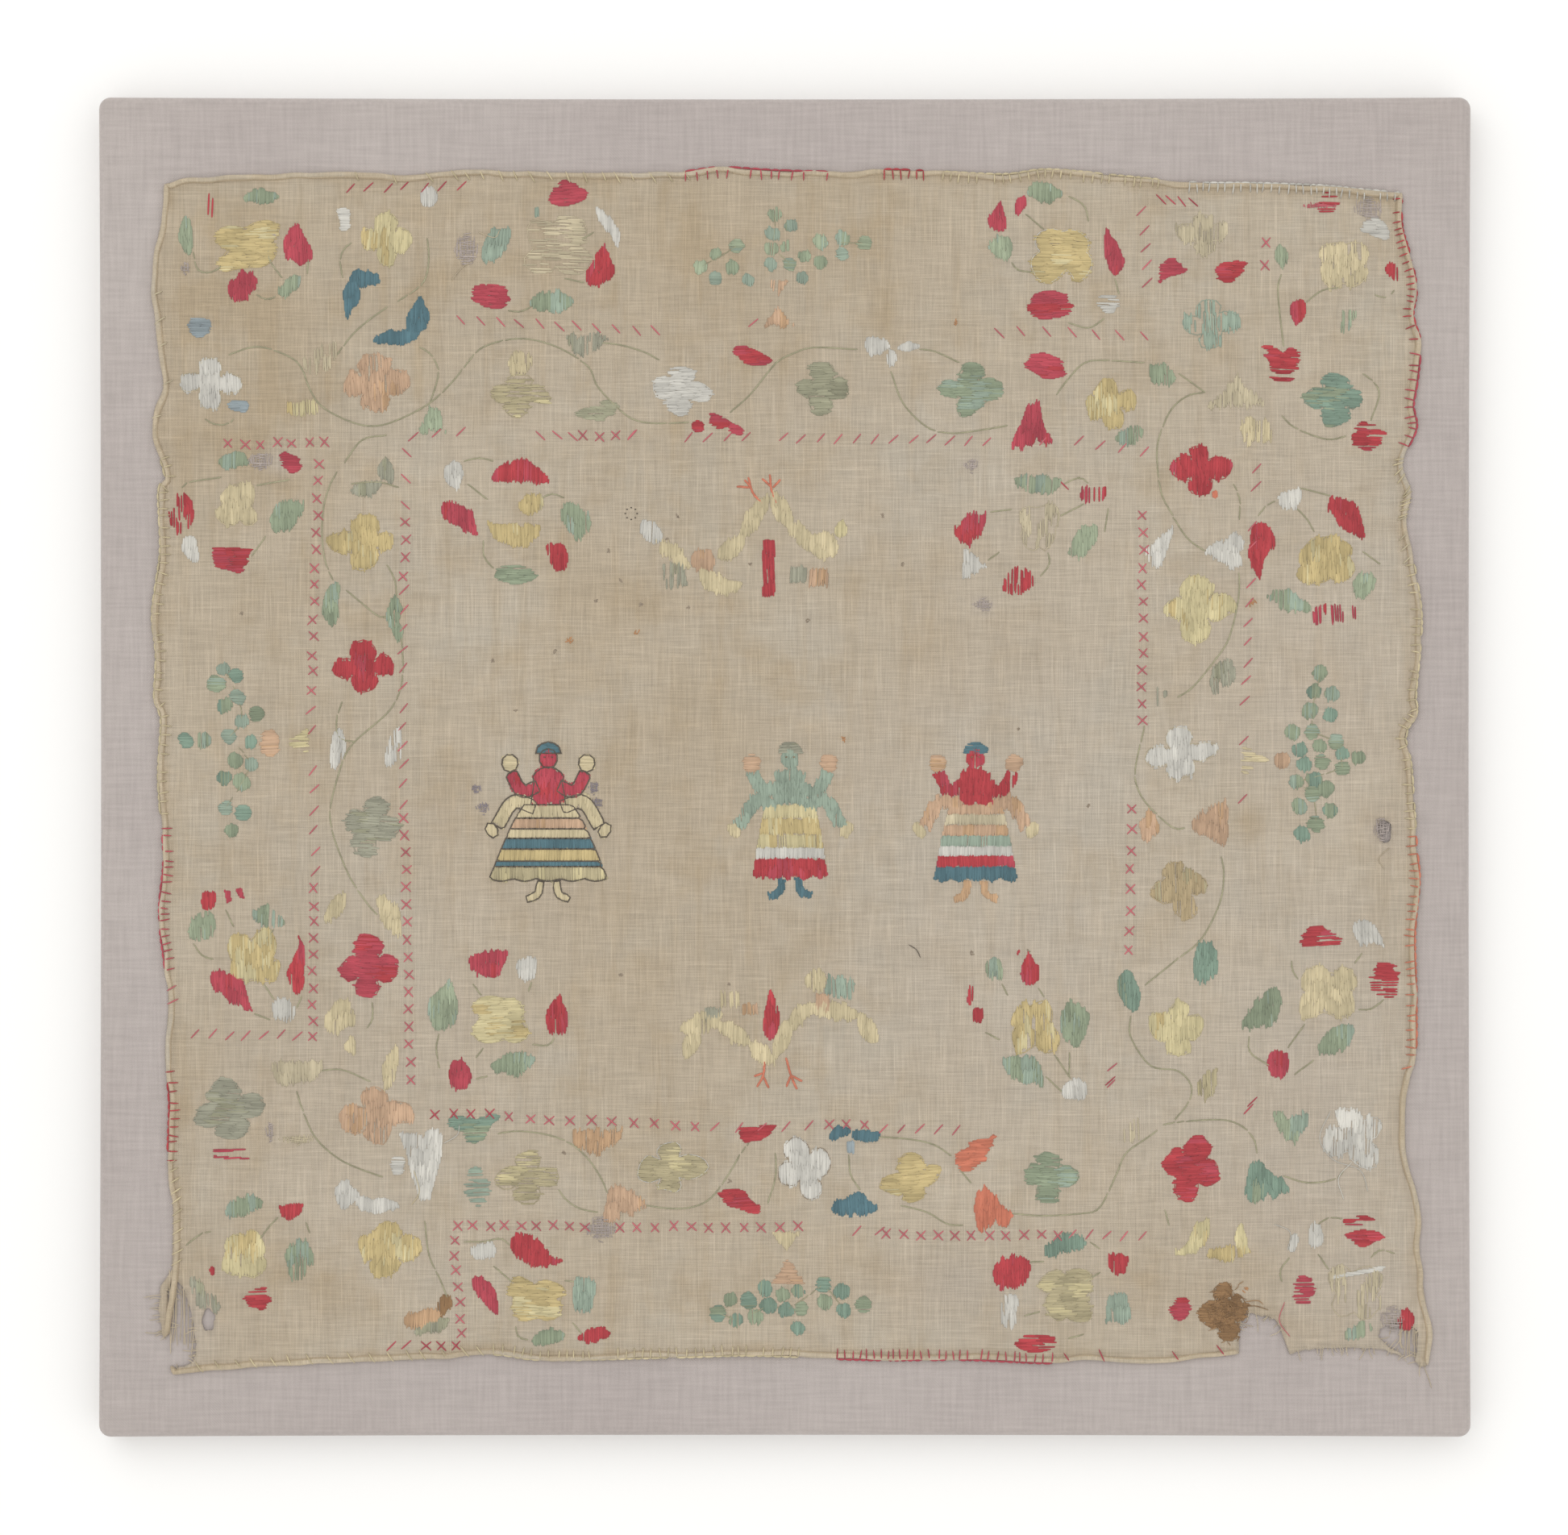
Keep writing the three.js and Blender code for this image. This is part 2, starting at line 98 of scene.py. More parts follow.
def setLamps():
    for name in ("key", "fill"):
        light = bpy.data.lights.new(name, "AREA")
        light.size = studio[name + "Size"]
        light.energy = studio[name + "Power"]
        lamp = bpy.data.objects.new(name, light)
        bpy.context.scene.collection.objects.link(lamp)
        lamp.location = [c * mm for c in studio[name + "Place"]]
        lamp.rotation_euler = (-lamp.location).to_track_quat("-Z", "Y").to_euler()


def setFloor():
    bpy.ops.mesh.primitive_plane_add(size=studio["floorSize"], location=(0, 0, -studio["floorDrop"]))
    floor = bpy.context.object
    floor.name = "studioFloor"
    paint = bpy.data.materials.new("floorPaint")
    paint.use_nodes = True
    shader = paint.node_tree.nodes["Principled BSDF"]
    shader.inputs["Base Color"].default_value = srgb(studio["floorColour"])
    shader.inputs["Roughness"].default_value = studio["floorRoughness"]
    floor.data.materials.append(paint)


def setStudio():
    setCamera()
    setLamps()
    world = bpy.data.worlds.new("softbox")
    world.use_nodes = True
    background = world.node_tree.nodes["Background"]
    background.inputs["Color"].default_value = srgb(studio["worldColour"])
    background.inputs["Strength"].default_value = studio["worldStrength"]
    bpy.context.scene.world = world
    bpy.context.scene.view_settings.view_transform = "Standard"
    setFloor()
    print("studio set")


# Node helpers for the materials
fibre = {"specular": 0.18, "sheenRoughness": 0.5}


def newFinish(name, roughness, sheen):
    material = bpy.data.materials.new(name)
    material.use_nodes = True
    shader = material.node_tree.nodes["Principled BSDF"]
    shader.inputs["Roughness"].default_value = roughness
    shader.inputs["Specular IOR Level"].default_value = fibre["specular"]
    shader.inputs["Sheen Weight"].default_value = sheen
    shader.inputs["Sheen Roughness"].default_value = fibre["sheenRoughness"]
    return material, material.node_tree, shader


def addNode(tree, kind, **settings):
    node = tree.nodes.new(kind)
    for key, value in settings.items():
        setattr(node, key, value)
    return node


# Noise in object space: scale is in cells per metre, stretch is per axis
def noiseAt(tree, scale, detail=2.0, stretch=(1, 1, 1), rough=0.5):
    place = addNode(tree, "ShaderNodeTexCoord")
    mapping = addNode(tree, "ShaderNodeMapping")
    mapping.inputs["Scale"].default_value = stretch
    pattern = addNode(tree, "ShaderNodeTexNoise")
    pattern.inputs["Scale"].default_value = scale
    pattern.inputs["Detail"].default_value = detail
    pattern.inputs["Roughness"].default_value = rough
    tree.links.new(place.outputs["Object"], mapping.inputs["Vector"])
    tree.links.new(mapping.outputs["Vector"], pattern.inputs["Vector"])
    return pattern.outputs["Fac"]


def remap(tree, value, low, high, toLow, toHigh):
    node = addNode(tree, "ShaderNodeMapRange")
    for key, number in (("From Min", low), ("From Max", high), ("To Min", toLow), ("To Max", toHigh)):
        node.inputs[key].default_value = number
    tree.links.new(value, node.inputs["Value"])
    return node.outputs["Result"]


def combine(tree, operation, a, b):
    node = addNode(tree, "ShaderNodeMath", operation=operation)
    for socket, value in zip(node.inputs, (a, b)):
        if isinstance(value, (int, float)):
            socket.default_value = value
        else:
            tree.links.new(value, socket)
    return node.outputs[0]


def blendColour(tree, factor, a, b, mode="MIX"):
    node = addNode(tree, "ShaderNodeMix", data_type="RGBA", blend_type=mode)
    for index, value in ((0, factor), (6, a), (7, b)):
        if isinstance(value, (int, float, tuple)):
            node.inputs[index].default_value = value
        else:
            tree.links.new(value, node.inputs[index])
    return node.outputs[2]


def greyFrom(tree, value):
    node = addNode(tree, "ShaderNodeCombineColor")
    for socket in node.inputs:
        tree.links.new(value, socket)
    return node.outputs[0]


def attributeOf(tree, name):
    return addNode(tree, "ShaderNodeAttribute", attribute_name=name).outputs["Fac"]


def addBump(tree, shader, height, strength, distance):
    node = addNode(tree, "ShaderNodeBump")
    node.inputs["Strength"].default_value = strength
    node.inputs["Distance"].default_value = distance
    tree.links.new(height, node.inputs["Height"])
    tree.links.new(node.outputs["Normal"], shader.inputs["Normal"])


# Over-and-under relief of a plain weave, its thread pitch in metres
def weaveBump(tree, pitch):
    place = addNode(tree, "ShaderNodeTexCoord")
    split = addNode(tree, "ShaderNodeSeparateXYZ")
    tree.links.new(place.outputs["Object"], split.inputs[0])
    turns = math.pi / pitch
    across = combine(tree, "SINE", combine(tree, "MULTIPLY", split.outputs["X"], turns), 0)
    along = combine(tree, "SINE", combine(tree, "MULTIPLY", split.outputs["Y"], turns), 0)
    return combine(tree, "MULTIPLY", across, along)


# The mount board: a padded board with its cover pulled round the edges, in mm
boardSizes = {
    "wide": 512, "tall": 500, "corner": 4.5, "cornerSteps": 6, "round": 4, "roundSteps": 5,
    "backRound": 1.5, "backSteps": 3, "bow": 0.7, "bowLines": 7, "sideBand": 5,
}
# Its cover: noise scales in cells per metre, the weave's pitch and the bump's depth in metres
boardLook = {
    "colour": (177, 168, 164), "pale": (184, 176, 171), "shade": (168, 158, 155), "colourShare": 0.6,
    "roughness": 0.9, "sheen": 0.25, "mottle": 9, "slubs": 900, "slubStretch": 0.06, "slubShare": 0.7,
    "slubRange": (0.6, 1.4, 0.9, 1.1), "pitch": 0.0005, "bump": 0.35, "depth": 0.00012,
}


def selectVerts(thing, test):
    bpy.ops.object.mode_set(mode="OBJECT")
    for vertex in thing.data.vertices:
        vertex.select = test(vertex.co / mm)
    for edge in thing.data.edges:
        edge.select = all(thing.data.vertices[i].select for i in edge.vertices)
    for face in thing.data.polygons:
        face.select = all(thing.data.vertices[i].select for i in face.vertices)
    bpy.ops.object.mode_set(mode="EDIT")


def bevelEdges(thing, test, radius, segments):
    bpy.ops.object.mode_set(mode="OBJECT")
    points = thing.data.vertices
    for face in thing.data.polygons:
        face.select = False
    for vertex in points:
        vertex.select = False
    for edge in thing.data.edges:
        a, b = (points[i].co / mm for i in edge.vertices)
        edge.select = test(a, b)
    bpy.ops.object.mode_set(mode="EDIT")
    bpy.ops.mesh.bevel(offset=radius * mm, segments=segments, profile=0.5)


# Draws one line of a side inwards: where it lies along the side, which side, how far out that side is
def pullIn(board, axis, place, side, edge, pull):
    near = edge - boardSizes["sideBand"]
    selectVerts(board, lambda p: abs(p[axis] - place) < 0.1 and p[1 - axis] * side > near)
    move = [0, 0, 0]
    move[1 - axis] = -side * pull * mm
    bpy.ops.transform.translate(value=move)


# The drawn cover pulls the sides in a little at their middles
def bowSides(board, wide, tall):
    bpy.ops.mesh.select_mode(type="VERT")
    lines = boardSizes["bowLines"]
    stops = [(i + 1) / (lines + 1) * 2 - 1 for i in range(lines)]
    for axis, half in enumerate((wide, tall)):
        for stop in stops:
            bpy.ops.mesh.select_all(action="SELECT")
            place, facing = [0, 0, 0], [0, 0, 0]
            place[axis], facing[axis] = stop * half * mm, 1
            bpy.ops.mesh.bisect(plane_co=place, plane_no=facing)
    for axis, (half, other) in enumerate(((wide, tall), (tall, wide))):
        for stop in stops:
            pull = boardSizes["bow"] * (1 - stop ** 2)
            for side in (-1, 1):
                pullIn(board, axis, stop * half, side, other, pull)


def coverFinish():
    material, tree, shader = newFinish("boardCover", boardLook["roughness"], boardLook["sheen"])
    mottle = remap(tree, noiseAt(tree, boardLook["mottle"], 3), 0.3, 0.7, 0, 1)
    base = blendColour(tree, mottle, srgb(boardLook["shade"]), srgb(boardLook["pale"]))
    base = blendColour(tree, boardLook["colourShare"], base, srgb(boardLook["colour"]))
    warp = noiseAt(tree, boardLook["slubs"], 2, (boardLook["slubStretch"], 1, 1))
    weft = noiseAt(tree, boardLook["slubs"], 2, (1, boardLook["slubStretch"], 1))
    slubs = combine(tree, "ADD", warp, weft)
    grain = greyFrom(tree, remap(tree, slubs, *boardLook["slubRange"]))
    tree.links.new(blendColour(tree, 1.0, base, grain, "MULTIPLY"), shader.inputs["Base Color"])
    rough = combine(tree, "MULTIPLY", slubs, boardLook["slubShare"])
    relief = combine(tree, "ADD", weaveBump(tree, boardLook["pitch"]), rough)
    addBump(tree, shader, relief, boardLook["bump"], boardLook["depth"])
    return material


def buildBoard():
    wide, tall = boardSizes["wide"] / 2, boardSizes["tall"] / 2
    bpy.ops.object.select_all(action="DESELECT")
    bpy.ops.mesh.primitive_cube_add(size=1, location=(0, 0, boardTop * mm / 2))
    board = bpy.context.object
    board.name = "coveredBoard"
    board.scale = (wide * 2 * mm, tall * 2 * mm, boardTop * mm)
    bpy.ops.object.transform_apply(location=True, rotation=True, scale=True)
    bpy.ops.object.mode_set(mode="EDIT")
    bpy.ops.mesh.select_mode(type="EDGE")
    upright, topRim, backRim = (
        lambda a, b: abs(a.z - b.z) > 1, lambda a, b: min(a.z, b.z) > boardTop - 0.1,
        lambda a, b: max(a.z, b.z) < 0.1,
    )
    bevelEdges(board, upright, boardSizes["corner"], boardSizes["cornerSteps"])
    bevelEdges(board, topRim, boardSizes["round"], boardSizes["roundSteps"])
    bevelEdges(board, backRim, boardSizes["backRound"], boardSizes["backSteps"])
    bowSides(board, wide, tall)
    bpy.ops.object.mode_set(mode="OBJECT")
    bpy.ops.object.shade_smooth_by_angle(angle=math.radians(40))
    board.data.materials.append(coverFinish())
    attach(board, "root")
    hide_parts("mount_board")
    print("board built")
    return board


# Soft noise from 0 to 1, always the same at the same place. The large numbers only scatter it.
def softNoise(x, y, cell, salt):
    x, y = np.asarray(x, float) / cell, np.asarray(y, float) / cell
    x0, y0 = np.floor(x), np.floor(y)
    u, v = x - x0, y - y0
    u, v = u * u * (3 - 2 * u), v * v * (3 - 2 * v)

    def corner(i, j):
        s = np.sin(i * 127.1 + j * 311.7 + salt * 74.7) * 43758.5453
        return s - np.floor(s)

    low = corner(x0, y0) * (1 - u) + corner(x0 + 1, y0) * u
    high = corner(x0, y0 + 1) * (1 - u) + corner(x0 + 1, y0 + 1) * u
    return low * (1 - v) + high * v


# The cloth: sizes in mm, and its colours
cloth = {
    "thick": 0.55, "waves": 0.28, "waveCell": 46, "ripples": 0.12, "rippleCell": 15, "sheetGap": 0.02,
    "grid": 2.6, "gridAcross": (-236, 242), "gridUp": (-226, 226), "rimClear": 1.2, "edgeStep": 2.2,
    "tearStep": 1.2, "tearRagged": 0.9, "shortestEdge": 0.35, "hemWide": 2.3, "hemHigh": 1.5,
    "linen": (177, 165, 147), "tan": (168, 152, 128), "pink": (176, 165, 151), "cool": (178, 170, 156),
    # The hem's painted shade is set on these lines: its strength, how far past the hem it reaches in mm, and
    # its noise cell
    "pale": (184, 173, 156), "hem": (178, 163, 139), "hemPale": (190, 177, 155), "hemShadeStrength": 0.75,
    "hemShadeReach": 2.2, "hemShadeCell": 7, "stainCell": 17,
}

# Its edges as they stray: x, y along the top and bottom, but y, x along the right and left
topEdge = [
    (-230.5, 217), (-220, 219), (-190, 220.4), (-166, 221.4), (-142, 220.2), (-122, 221.8), (-82, 221.2),
    (-42, 221.2), (-24, 223), (-4, 221.9), (20, 221.3), (40, 222.2), (80, 220.4), (98, 222.2), (128, 219.5),
    (152, 217.4), (176, 217.1), (200, 216.2), (214, 214.8), (229.5, 213.5),
]
rightEdge = [
    (213.5, 229.5), (201, 229.6), (189, 233), (177, 235), (168, 233.6), (158, 236.4), (144, 235.3),
    (134, 233.7), (126, 235), (113, 229.6), (102, 233), (90, 231.2), (71, 234.8), (53, 236.8), (27, 234.6),
    (20, 235.2), (12, 230.8), (0, 233), (-30, 235), (-42, 236), (-62, 234.3), (-84, 234.8), (-107, 234.6),
    (-117, 231.9), (-132, 230.8), (-147, 231.6), (-157, 234.8), (-168, 236.7), (-178, 236.1), (-190, 237.2),
    (-200, 238.6), (-210, 240.6),
]
bottomEdge = [
    (169, -218.3), (156, -219.5), (136, -221.8), (111, -220.4), (98, -221.6), (68, -220.4), (31, -220.4),
    (-10, -218.8), (-40, -219.4), (-89, -220.4), (-108, -218.4), (-136, -220.4), (-193, -222.8),
    (-222, -225.4),
]
leftEdge = [
    (-187, -228), (-164, -227.7), (-147, -229.4), (-124, -228.9), (-107, -230.6), (-85, -229.4),
    (-56, -232.6), (-33, -231), (-5, -233), (18, -232), (25, -234.5), (41, -233.8), (56, -235.3),
    (68, -233.9), (82, -232.2), (103, -233), (108.5, -230.5), (123, -234.9), (133, -234.6), (142, -231.2),
    (154, -232.8), (183, -235.3), (207, -231.2), (217, -230.5),
]
# Where it is torn, and its holes
rightTear = [
    (238.6, -223), (235, -221.5), (235.2, -209.6), (226, -207), (221, -212), (231, -220), (220.7, -216.5),
    (197, -216.5), (188, -218.3),
]
lowerNotch = [(184.7, -209.6), (182.3, -205.7), (175.4, -203.6), (170.9, -203.6), (169, -209.6)]
leftTear = [
    (-226.4, -223.6), (-220, -221), (-219.5, -211), (-221.3, -202), (-224, -194), (-227.4, -191),
    (-230, -196), (-229.4, -203.5), (-231, -212.6), (-232.8, -203), (-232.2, -193),
]
holes = [(223.4, -23.8, 4.6, 8.6), (-214.4, -205.5, 4.6, 8)]    # x, y, wide, tall

# Stains and thin places: x, y, reach across, reach up, how strong, which
patches = [
    (-60, 195, 190, 60, 0.6, "tan"), (-190, 40, 60, 190, 0.35, "tan"), (-40, -20, 70, 230, 0.42, "tan"),
    (-65, 60, 30, 22, 0.7, "tan"), (-70, 75, 25, 25, 0.5, "tan"), (50, 45, 40, 20, 0.55, "tan"),
    (-10, 155, 60, 18, 0.4, "tan"), (-200, 150, 60, 80, 0.75, "tan"), (10, -190, 150, 26, 0.35, "tan"),
    (-195, -195, 36, 30, 0.65, "tan"), (160, -185, 45, 30, 0.5, "tan"), (-128, -12, 26, 48, 0.55, "tan"),
    (38, 62, 28, 24, 0.55, "tan"), (192, -211, 20, 10, 0.6, "tan"), (-224, -110, 12, 40, 0.5, "tan"),
    (135.5, -190.5, 8, 5, 0.8, "tan"), (177, -203, 9, 6, 1.0, "tan"), (186, -207, 8, 3, 1.0, "tan"),
    (172, -20, 6, 6, 0.8, "tan"), (-80, 46, 3.5, 3, 1.0, "tan"), (-55, 49, 5, 4, 0.7, "tan"),
    (-170, -189.5, 2.6, 2.2, 0.9, "tan"), (22, 10.5, 3, 2.2, 0.8, "tan"), (174, 60.5, 3.5, 3, 0.9, "tan"),
    (225, -20, 12, 14, 0.3, "tan"), (200, -140, 60, 110, 0.6, "pink"), (200, 40, 50, 60, 0.45, "pink"),
    (160, -190, 90, 30, 0.2, "pink"), (-215, -205, 30, 24, 0.3, "pink"), (-150, -100, 60, 90, 0.3, "pink"),
    (75, -30, 60, 120, 0.4, "pink"), (65, -195, 25, 20, 0.6, "pink"), (222, -200, 18, 22, 0.9, "pink"),
    (74, 60.5, 5, 4, 1.0, "pink"), (69.5, 112.5, 4, 3.5, 1.0, "pink"), (-187, 113, 7, 5, 0.9, "pink"),
    (223, -24, 9, 11, 0.9, "pink"), (-220, -210, 10, 20, 0.8, "pink"),
]


# Evenly spaced points on a smooth line through these ones
def throughPoints(rows, step):
    rows = [np.array(row, float) for row in rows]
    rows = [2 * rows[0] - rows[1]] + rows + [2 * rows[-1] - rows[-2]]
    line, between = [], np.linspace(0, 1, 14)[:-1]
    for a, b, c, d in zip(rows, rows[1:], rows[2:], rows[3:]):
        for t in between:
            line.append(0.5 * (2 * b + (c - a) * t + (2 * a - 5 * b + 4 * c - d) * t * t
                               + (3 * b - a - 3 * c + d) * t ** 3))
    line.append(rows[-2])
    line = np.array(line)
    walk = np.concatenate([[0], np.cumsum(np.hypot(*np.diff(line, axis=0).T))])
    count = max(2, int(round(walk[-1] / step)) + 1)
    stops = np.linspace(0, walk[-1], count)
    return np.column_stack([np.interp(stops, walk, line[:, 0]), np.interp(stops, walk, line[:, 1])])


def flipped(rows):
    return [(x, y) for y, x in rows]


hemLines = {
    "top": topEdge, "right": flipped(rightEdge) + [(239.4, -222.5)],
    "bottom": bottomEdge + [(-227.5, -226.2), (-229, -223.2)],
    "left": [(-231.2, -212)] + flipped(leftEdge),
}


# Unit steps along a line, and to the right of it
def stepsAlong(line):
    ahead = np.gradient(line, axis=0)
    ahead /= np.maximum(np.hypot(*ahead.T), 1e-6)[:, None]
    return ahead, np.column_stack([ahead[:, 1], -ahead[:, 0]])


# How high the cloth's face stands above its base
def heightAt(x, y):
    waves = softNoise(x, y, cloth["waveCell"], 3) * cloth["waves"]
    ripples = softNoise(x, y, cloth["rippleCell"], 8) * cloth["ripples"]
    return cloth["thick"] + (waves + ripples)


def insideShape(points, shape):
    x, y = points[:, 0][:, None], points[:, 1][:, None]
    x0, y0 = shape[:, 0], shape[:, 1]
    x1, y1 = np.roll(x0, -1), np.roll(y0, -1)
    crossing = (y0 > y) != (y1 > y)
    with np.errstate(divide="ignore", invalid="ignore"):
        at = x0 + (y - y0) * (x1 - x0) / np.where(y1 == y0, 1e-9, y1 - y0)
    return (crossing & (x < at)).sum(axis=1) % 2 == 1


def patchStrength(x, y, kind):
    total = np.zeros_like(x)
    for px, py, wide, tall, strength, which in patches:
        if which == kind:
            total = np.maximum(total, strength * np.exp(-((x - px) / wide) ** 2 - ((y - py) / tall) ** 2))
    return total


def holeRim(x, y, wide, tall):
    turn = np.linspace(0, 2 * math.pi, 22, endpoint=False)
    ragged = 0.75 + 0.5 * softNoise(np.cos(turn) * 3 + x, np.sin(turn) * 3 + y, 1.6, 21)
    return np.column_stack([x + wide / 2 * ragged * np.cos(turn), y + tall / 2 * ragged * np.sin(turn)])


# How far each place lies from a line, for a few of the line's points at a time
def farFrom(places, line):
    far = np.full(len(places), 1e9)
    for part in np.array_split(line, max(1, len(line) // 60)):
        gaps = np.hypot(places[:, 0][:, None] - part[:, 0], places[:, 1][:, None] - part[:, 1])
        far = np.minimum(far, gaps.min(axis=1))
    return far


# Painted shade beside the hem: a shadow line along its inner side, broken up by noise
def paintedHemShadeAt(x, y):
    places = np.column_stack([x, y])
    near = np.min([farFrom(places, throughPoints(rows, 2.0)) for rows in hemLines.values()], axis=0)
    beside = np.maximum(0, near - cloth["hemWide"]) / cloth["hemShadeReach"]
    return np.exp(-beside ** 2) * (0.5 + softNoise(x, y, cloth["hemShadeCell"], 12) * 0.5)


def clothOutline():
    step = cloth["edgeStep"]
    ragged = [throughPoints(rows, cloth["tearStep"]) for rows in (rightTear, lowerNotch, leftTear)]
    for line in ragged:
        stray = [softNoise(line[:, 0] * 9, line[:, 1] * 9, 5, salt) - 0.5 for salt in (1, 2)]
        line += np.column_stack(stray) * cloth["tearRagged"]
    outline = np.concatenate([
        throughPoints(topEdge, step), throughPoints(flipped(rightEdge), step), ragged[0], ragged[1],
        throughPoints(bottomEdge, step), ragged[2], throughPoints(flipped(leftEdge), step),
    ])
    keep = np.hypot(*(outline - np.roll(outline, 1, axis=0)).T) > cloth["shortestEdge"]
    return outline[keep]


# The rims' own points, and a grid of points between them
def clothPoints(rims):
    across, up = (np.arange(*cloth[way], cloth["grid"]) for way in ("gridAcross", "gridUp"))
    gridX, gridY = np.meshgrid(across, up)
    inner = np.column_stack([gridX.ravel(), gridY.ravel()])
    inner = inner[insideShape(inner, rims[0])]
    for rim in rims:
        inner = inner[farFrom(inner, rim) > cloth["rimClear"]]
    for rim in rims[1:]:
        inner = inner[~insideShape(inner, rim)]
    return np.concatenate(rims + [inner])


# Triangles inside the first rim and outside the others
def clothTriangles(rims):
    edges, start = [], 0
    for rim in rims:
        count = len(rim)
        edges += [(start + i, start + (i + 1) % count) for i in range(count)]
        start += count
    result = delaunay_2d_cdt([Vector(p) for p in clothPoints(rims)], edges, [], 0, 1e-5)
    flat = np.array([tuple(v) for v in result[0]])
    faces = np.array([f for f in result[2] if len(f) == 3])
    middle = flat[faces].mean(axis=1)
    keep = insideShape(middle, rims[0])
    for rim in rims[1:]:
        keep &= ~insideShape(middle, rim)
    return flat, faces[keep]


# Turns every triangle to face up, leaves out empty ones and unused points, and adds up the area
def facingUp(flat, faces):
    a, b, c = (flat[faces[:, i]] for i in range(3))
    twice = (b[:, 0] - a[:, 0]) * (c[:, 1] - a[:, 1]) - (b[:, 1] - a[:, 1]) * (c[:, 0] - a[:, 0])
    real = np.abs(twice) > 1e-7
    faces, twice = faces[real], twice[real]
    faces[twice < 0] = faces[twice < 0][:, ::-1]
    used = np.unique(faces)
    renumber = np.full(len(flat), -1)
    renumber[used] = np.arange(len(used))
    return flat[used], renumber[faces], np.abs(twice).sum() / 2


# An upper and an under face, joined by walls round every rim
def linenSheet(flat, faces):
    x, y = flat.T
    high = heightAt(x, y)
    count = len(flat)
    upper = np.column_stack([x, y, sheetBase + high])
    under = np.column_stack([x, y, sheetBase + high - cloth["thick"] + cloth["sheetGap"]])
    seen = {(face[i], face[j]): True for face in faces for i, j in ((0, 1), (1, 2), (2, 0))}
    walls = [(i + count, j + count, j, i) for i, j in seen if (j, i) not in seen]
    allFaces = [tuple(f) for f in faces] + [tuple(f[::-1] + count) for f in faces] + walls
    return addMesh("linen", np.concatenate([upper, under]), allFaces)


def stainAt(x, y, kind, salt):
    strength = patchStrength(x, y, kind)
    strength = np.clip(strength * (0.7 + 0.6 * softNoise(x, y, cloth["stainCell"], salt)), 0, 1)
    # The tan layer takes the tan stains and, beside the hem, painted shade
    return np.maximum(strength, cloth["hemShadeStrength"] * paintedHemShadeAt(x, y)) if kind == "tan" else strength


def buildCloth():
    rims = [clothOutline()] + [holeRim(*hole) for hole in holes]
    flat, faces, area = facingUp(*clothTriangles(rims))
    linen = linenSheet(flat, faces)
    # The tan layer holds stains and painted shade beside the hem; the pink layer holds stains only
    for kind, salt in (("tan", 5), ("pink", 6)):
        addLayer(linen, kind, np.tile(stainAt(flat[:, 0], flat[:, 1], kind, salt), 2))
    linen.data.materials.append(linenFinish("linenWeave", cloth["linen"], cloth["pale"]))
    hem = buildHem()
    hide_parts("cloth")
    print("cloth built")


# The linen's look: noise scales in cells per metre, the weave's pitch and the bump's depth in metres
linenLook = {
    "roughness": 0.92, "sheen": 0.2, "pitch": 0.00042, "threads": 2600, "bars": 420, "stretch": 0.03,
    "barShare": 0.06, "paleShare": 0.24, "weaveShare": 0.07, "grain": (0.61, 1.51, 0.77, 1.23),
    "weaveRelief": 0.5, "bump": 0.5, "depth": 0.00018,
}
# Its patterns: scale, detail, stretch, roughness, then the noise's range and what that becomes
linenPatterns = {
    "slow": (16, 5, (1, 1, 1), 0.65, (0.35, 0.7, 0, 0.8)),
    "cool": (27, 4, (1, 1, 1), 0.6, (0.48, 0.66, 0, 0.7)),
    "warm": (43, 4, (1, 1, 1), 0.6, (0.5, 0.7, 0, 0.45)),
    "small": (75, 4, (1, 1, 1), 0.65, (0.3, 0.7, 0.97, 1.03)),
    "streaks": (150, 4, (1, 0.08, 1), 0.6, (0.52, 0.7, 0, 0.3)),
    "paleWarp": (2100, 0, (1, 0.02, 1), 0.5, (0.64, 0.72, 0, 1)),
    "paleWeft": (2100, 0, (0.03, 1, 1), 0.5, (0.64, 0.72, 0, 0.8)),
}


def linenPattern(tree, name):
    *noise, change = linenPatterns[name]
    return remap(tree, noiseAt(tree, *noise), *change)


# Long slubs both ways, as warp and weft
def crossedThreads(tree, scale, detail, rough):
    stretch = linenLook["stretch"]
    warp = noiseAt(tree, scale, detail, (1, stretch, 1), rough)
    weft = noiseAt(tree, scale, detail, (stretch, 1, 1), rough)
    return combine(tree, "ADD", warp, weft)


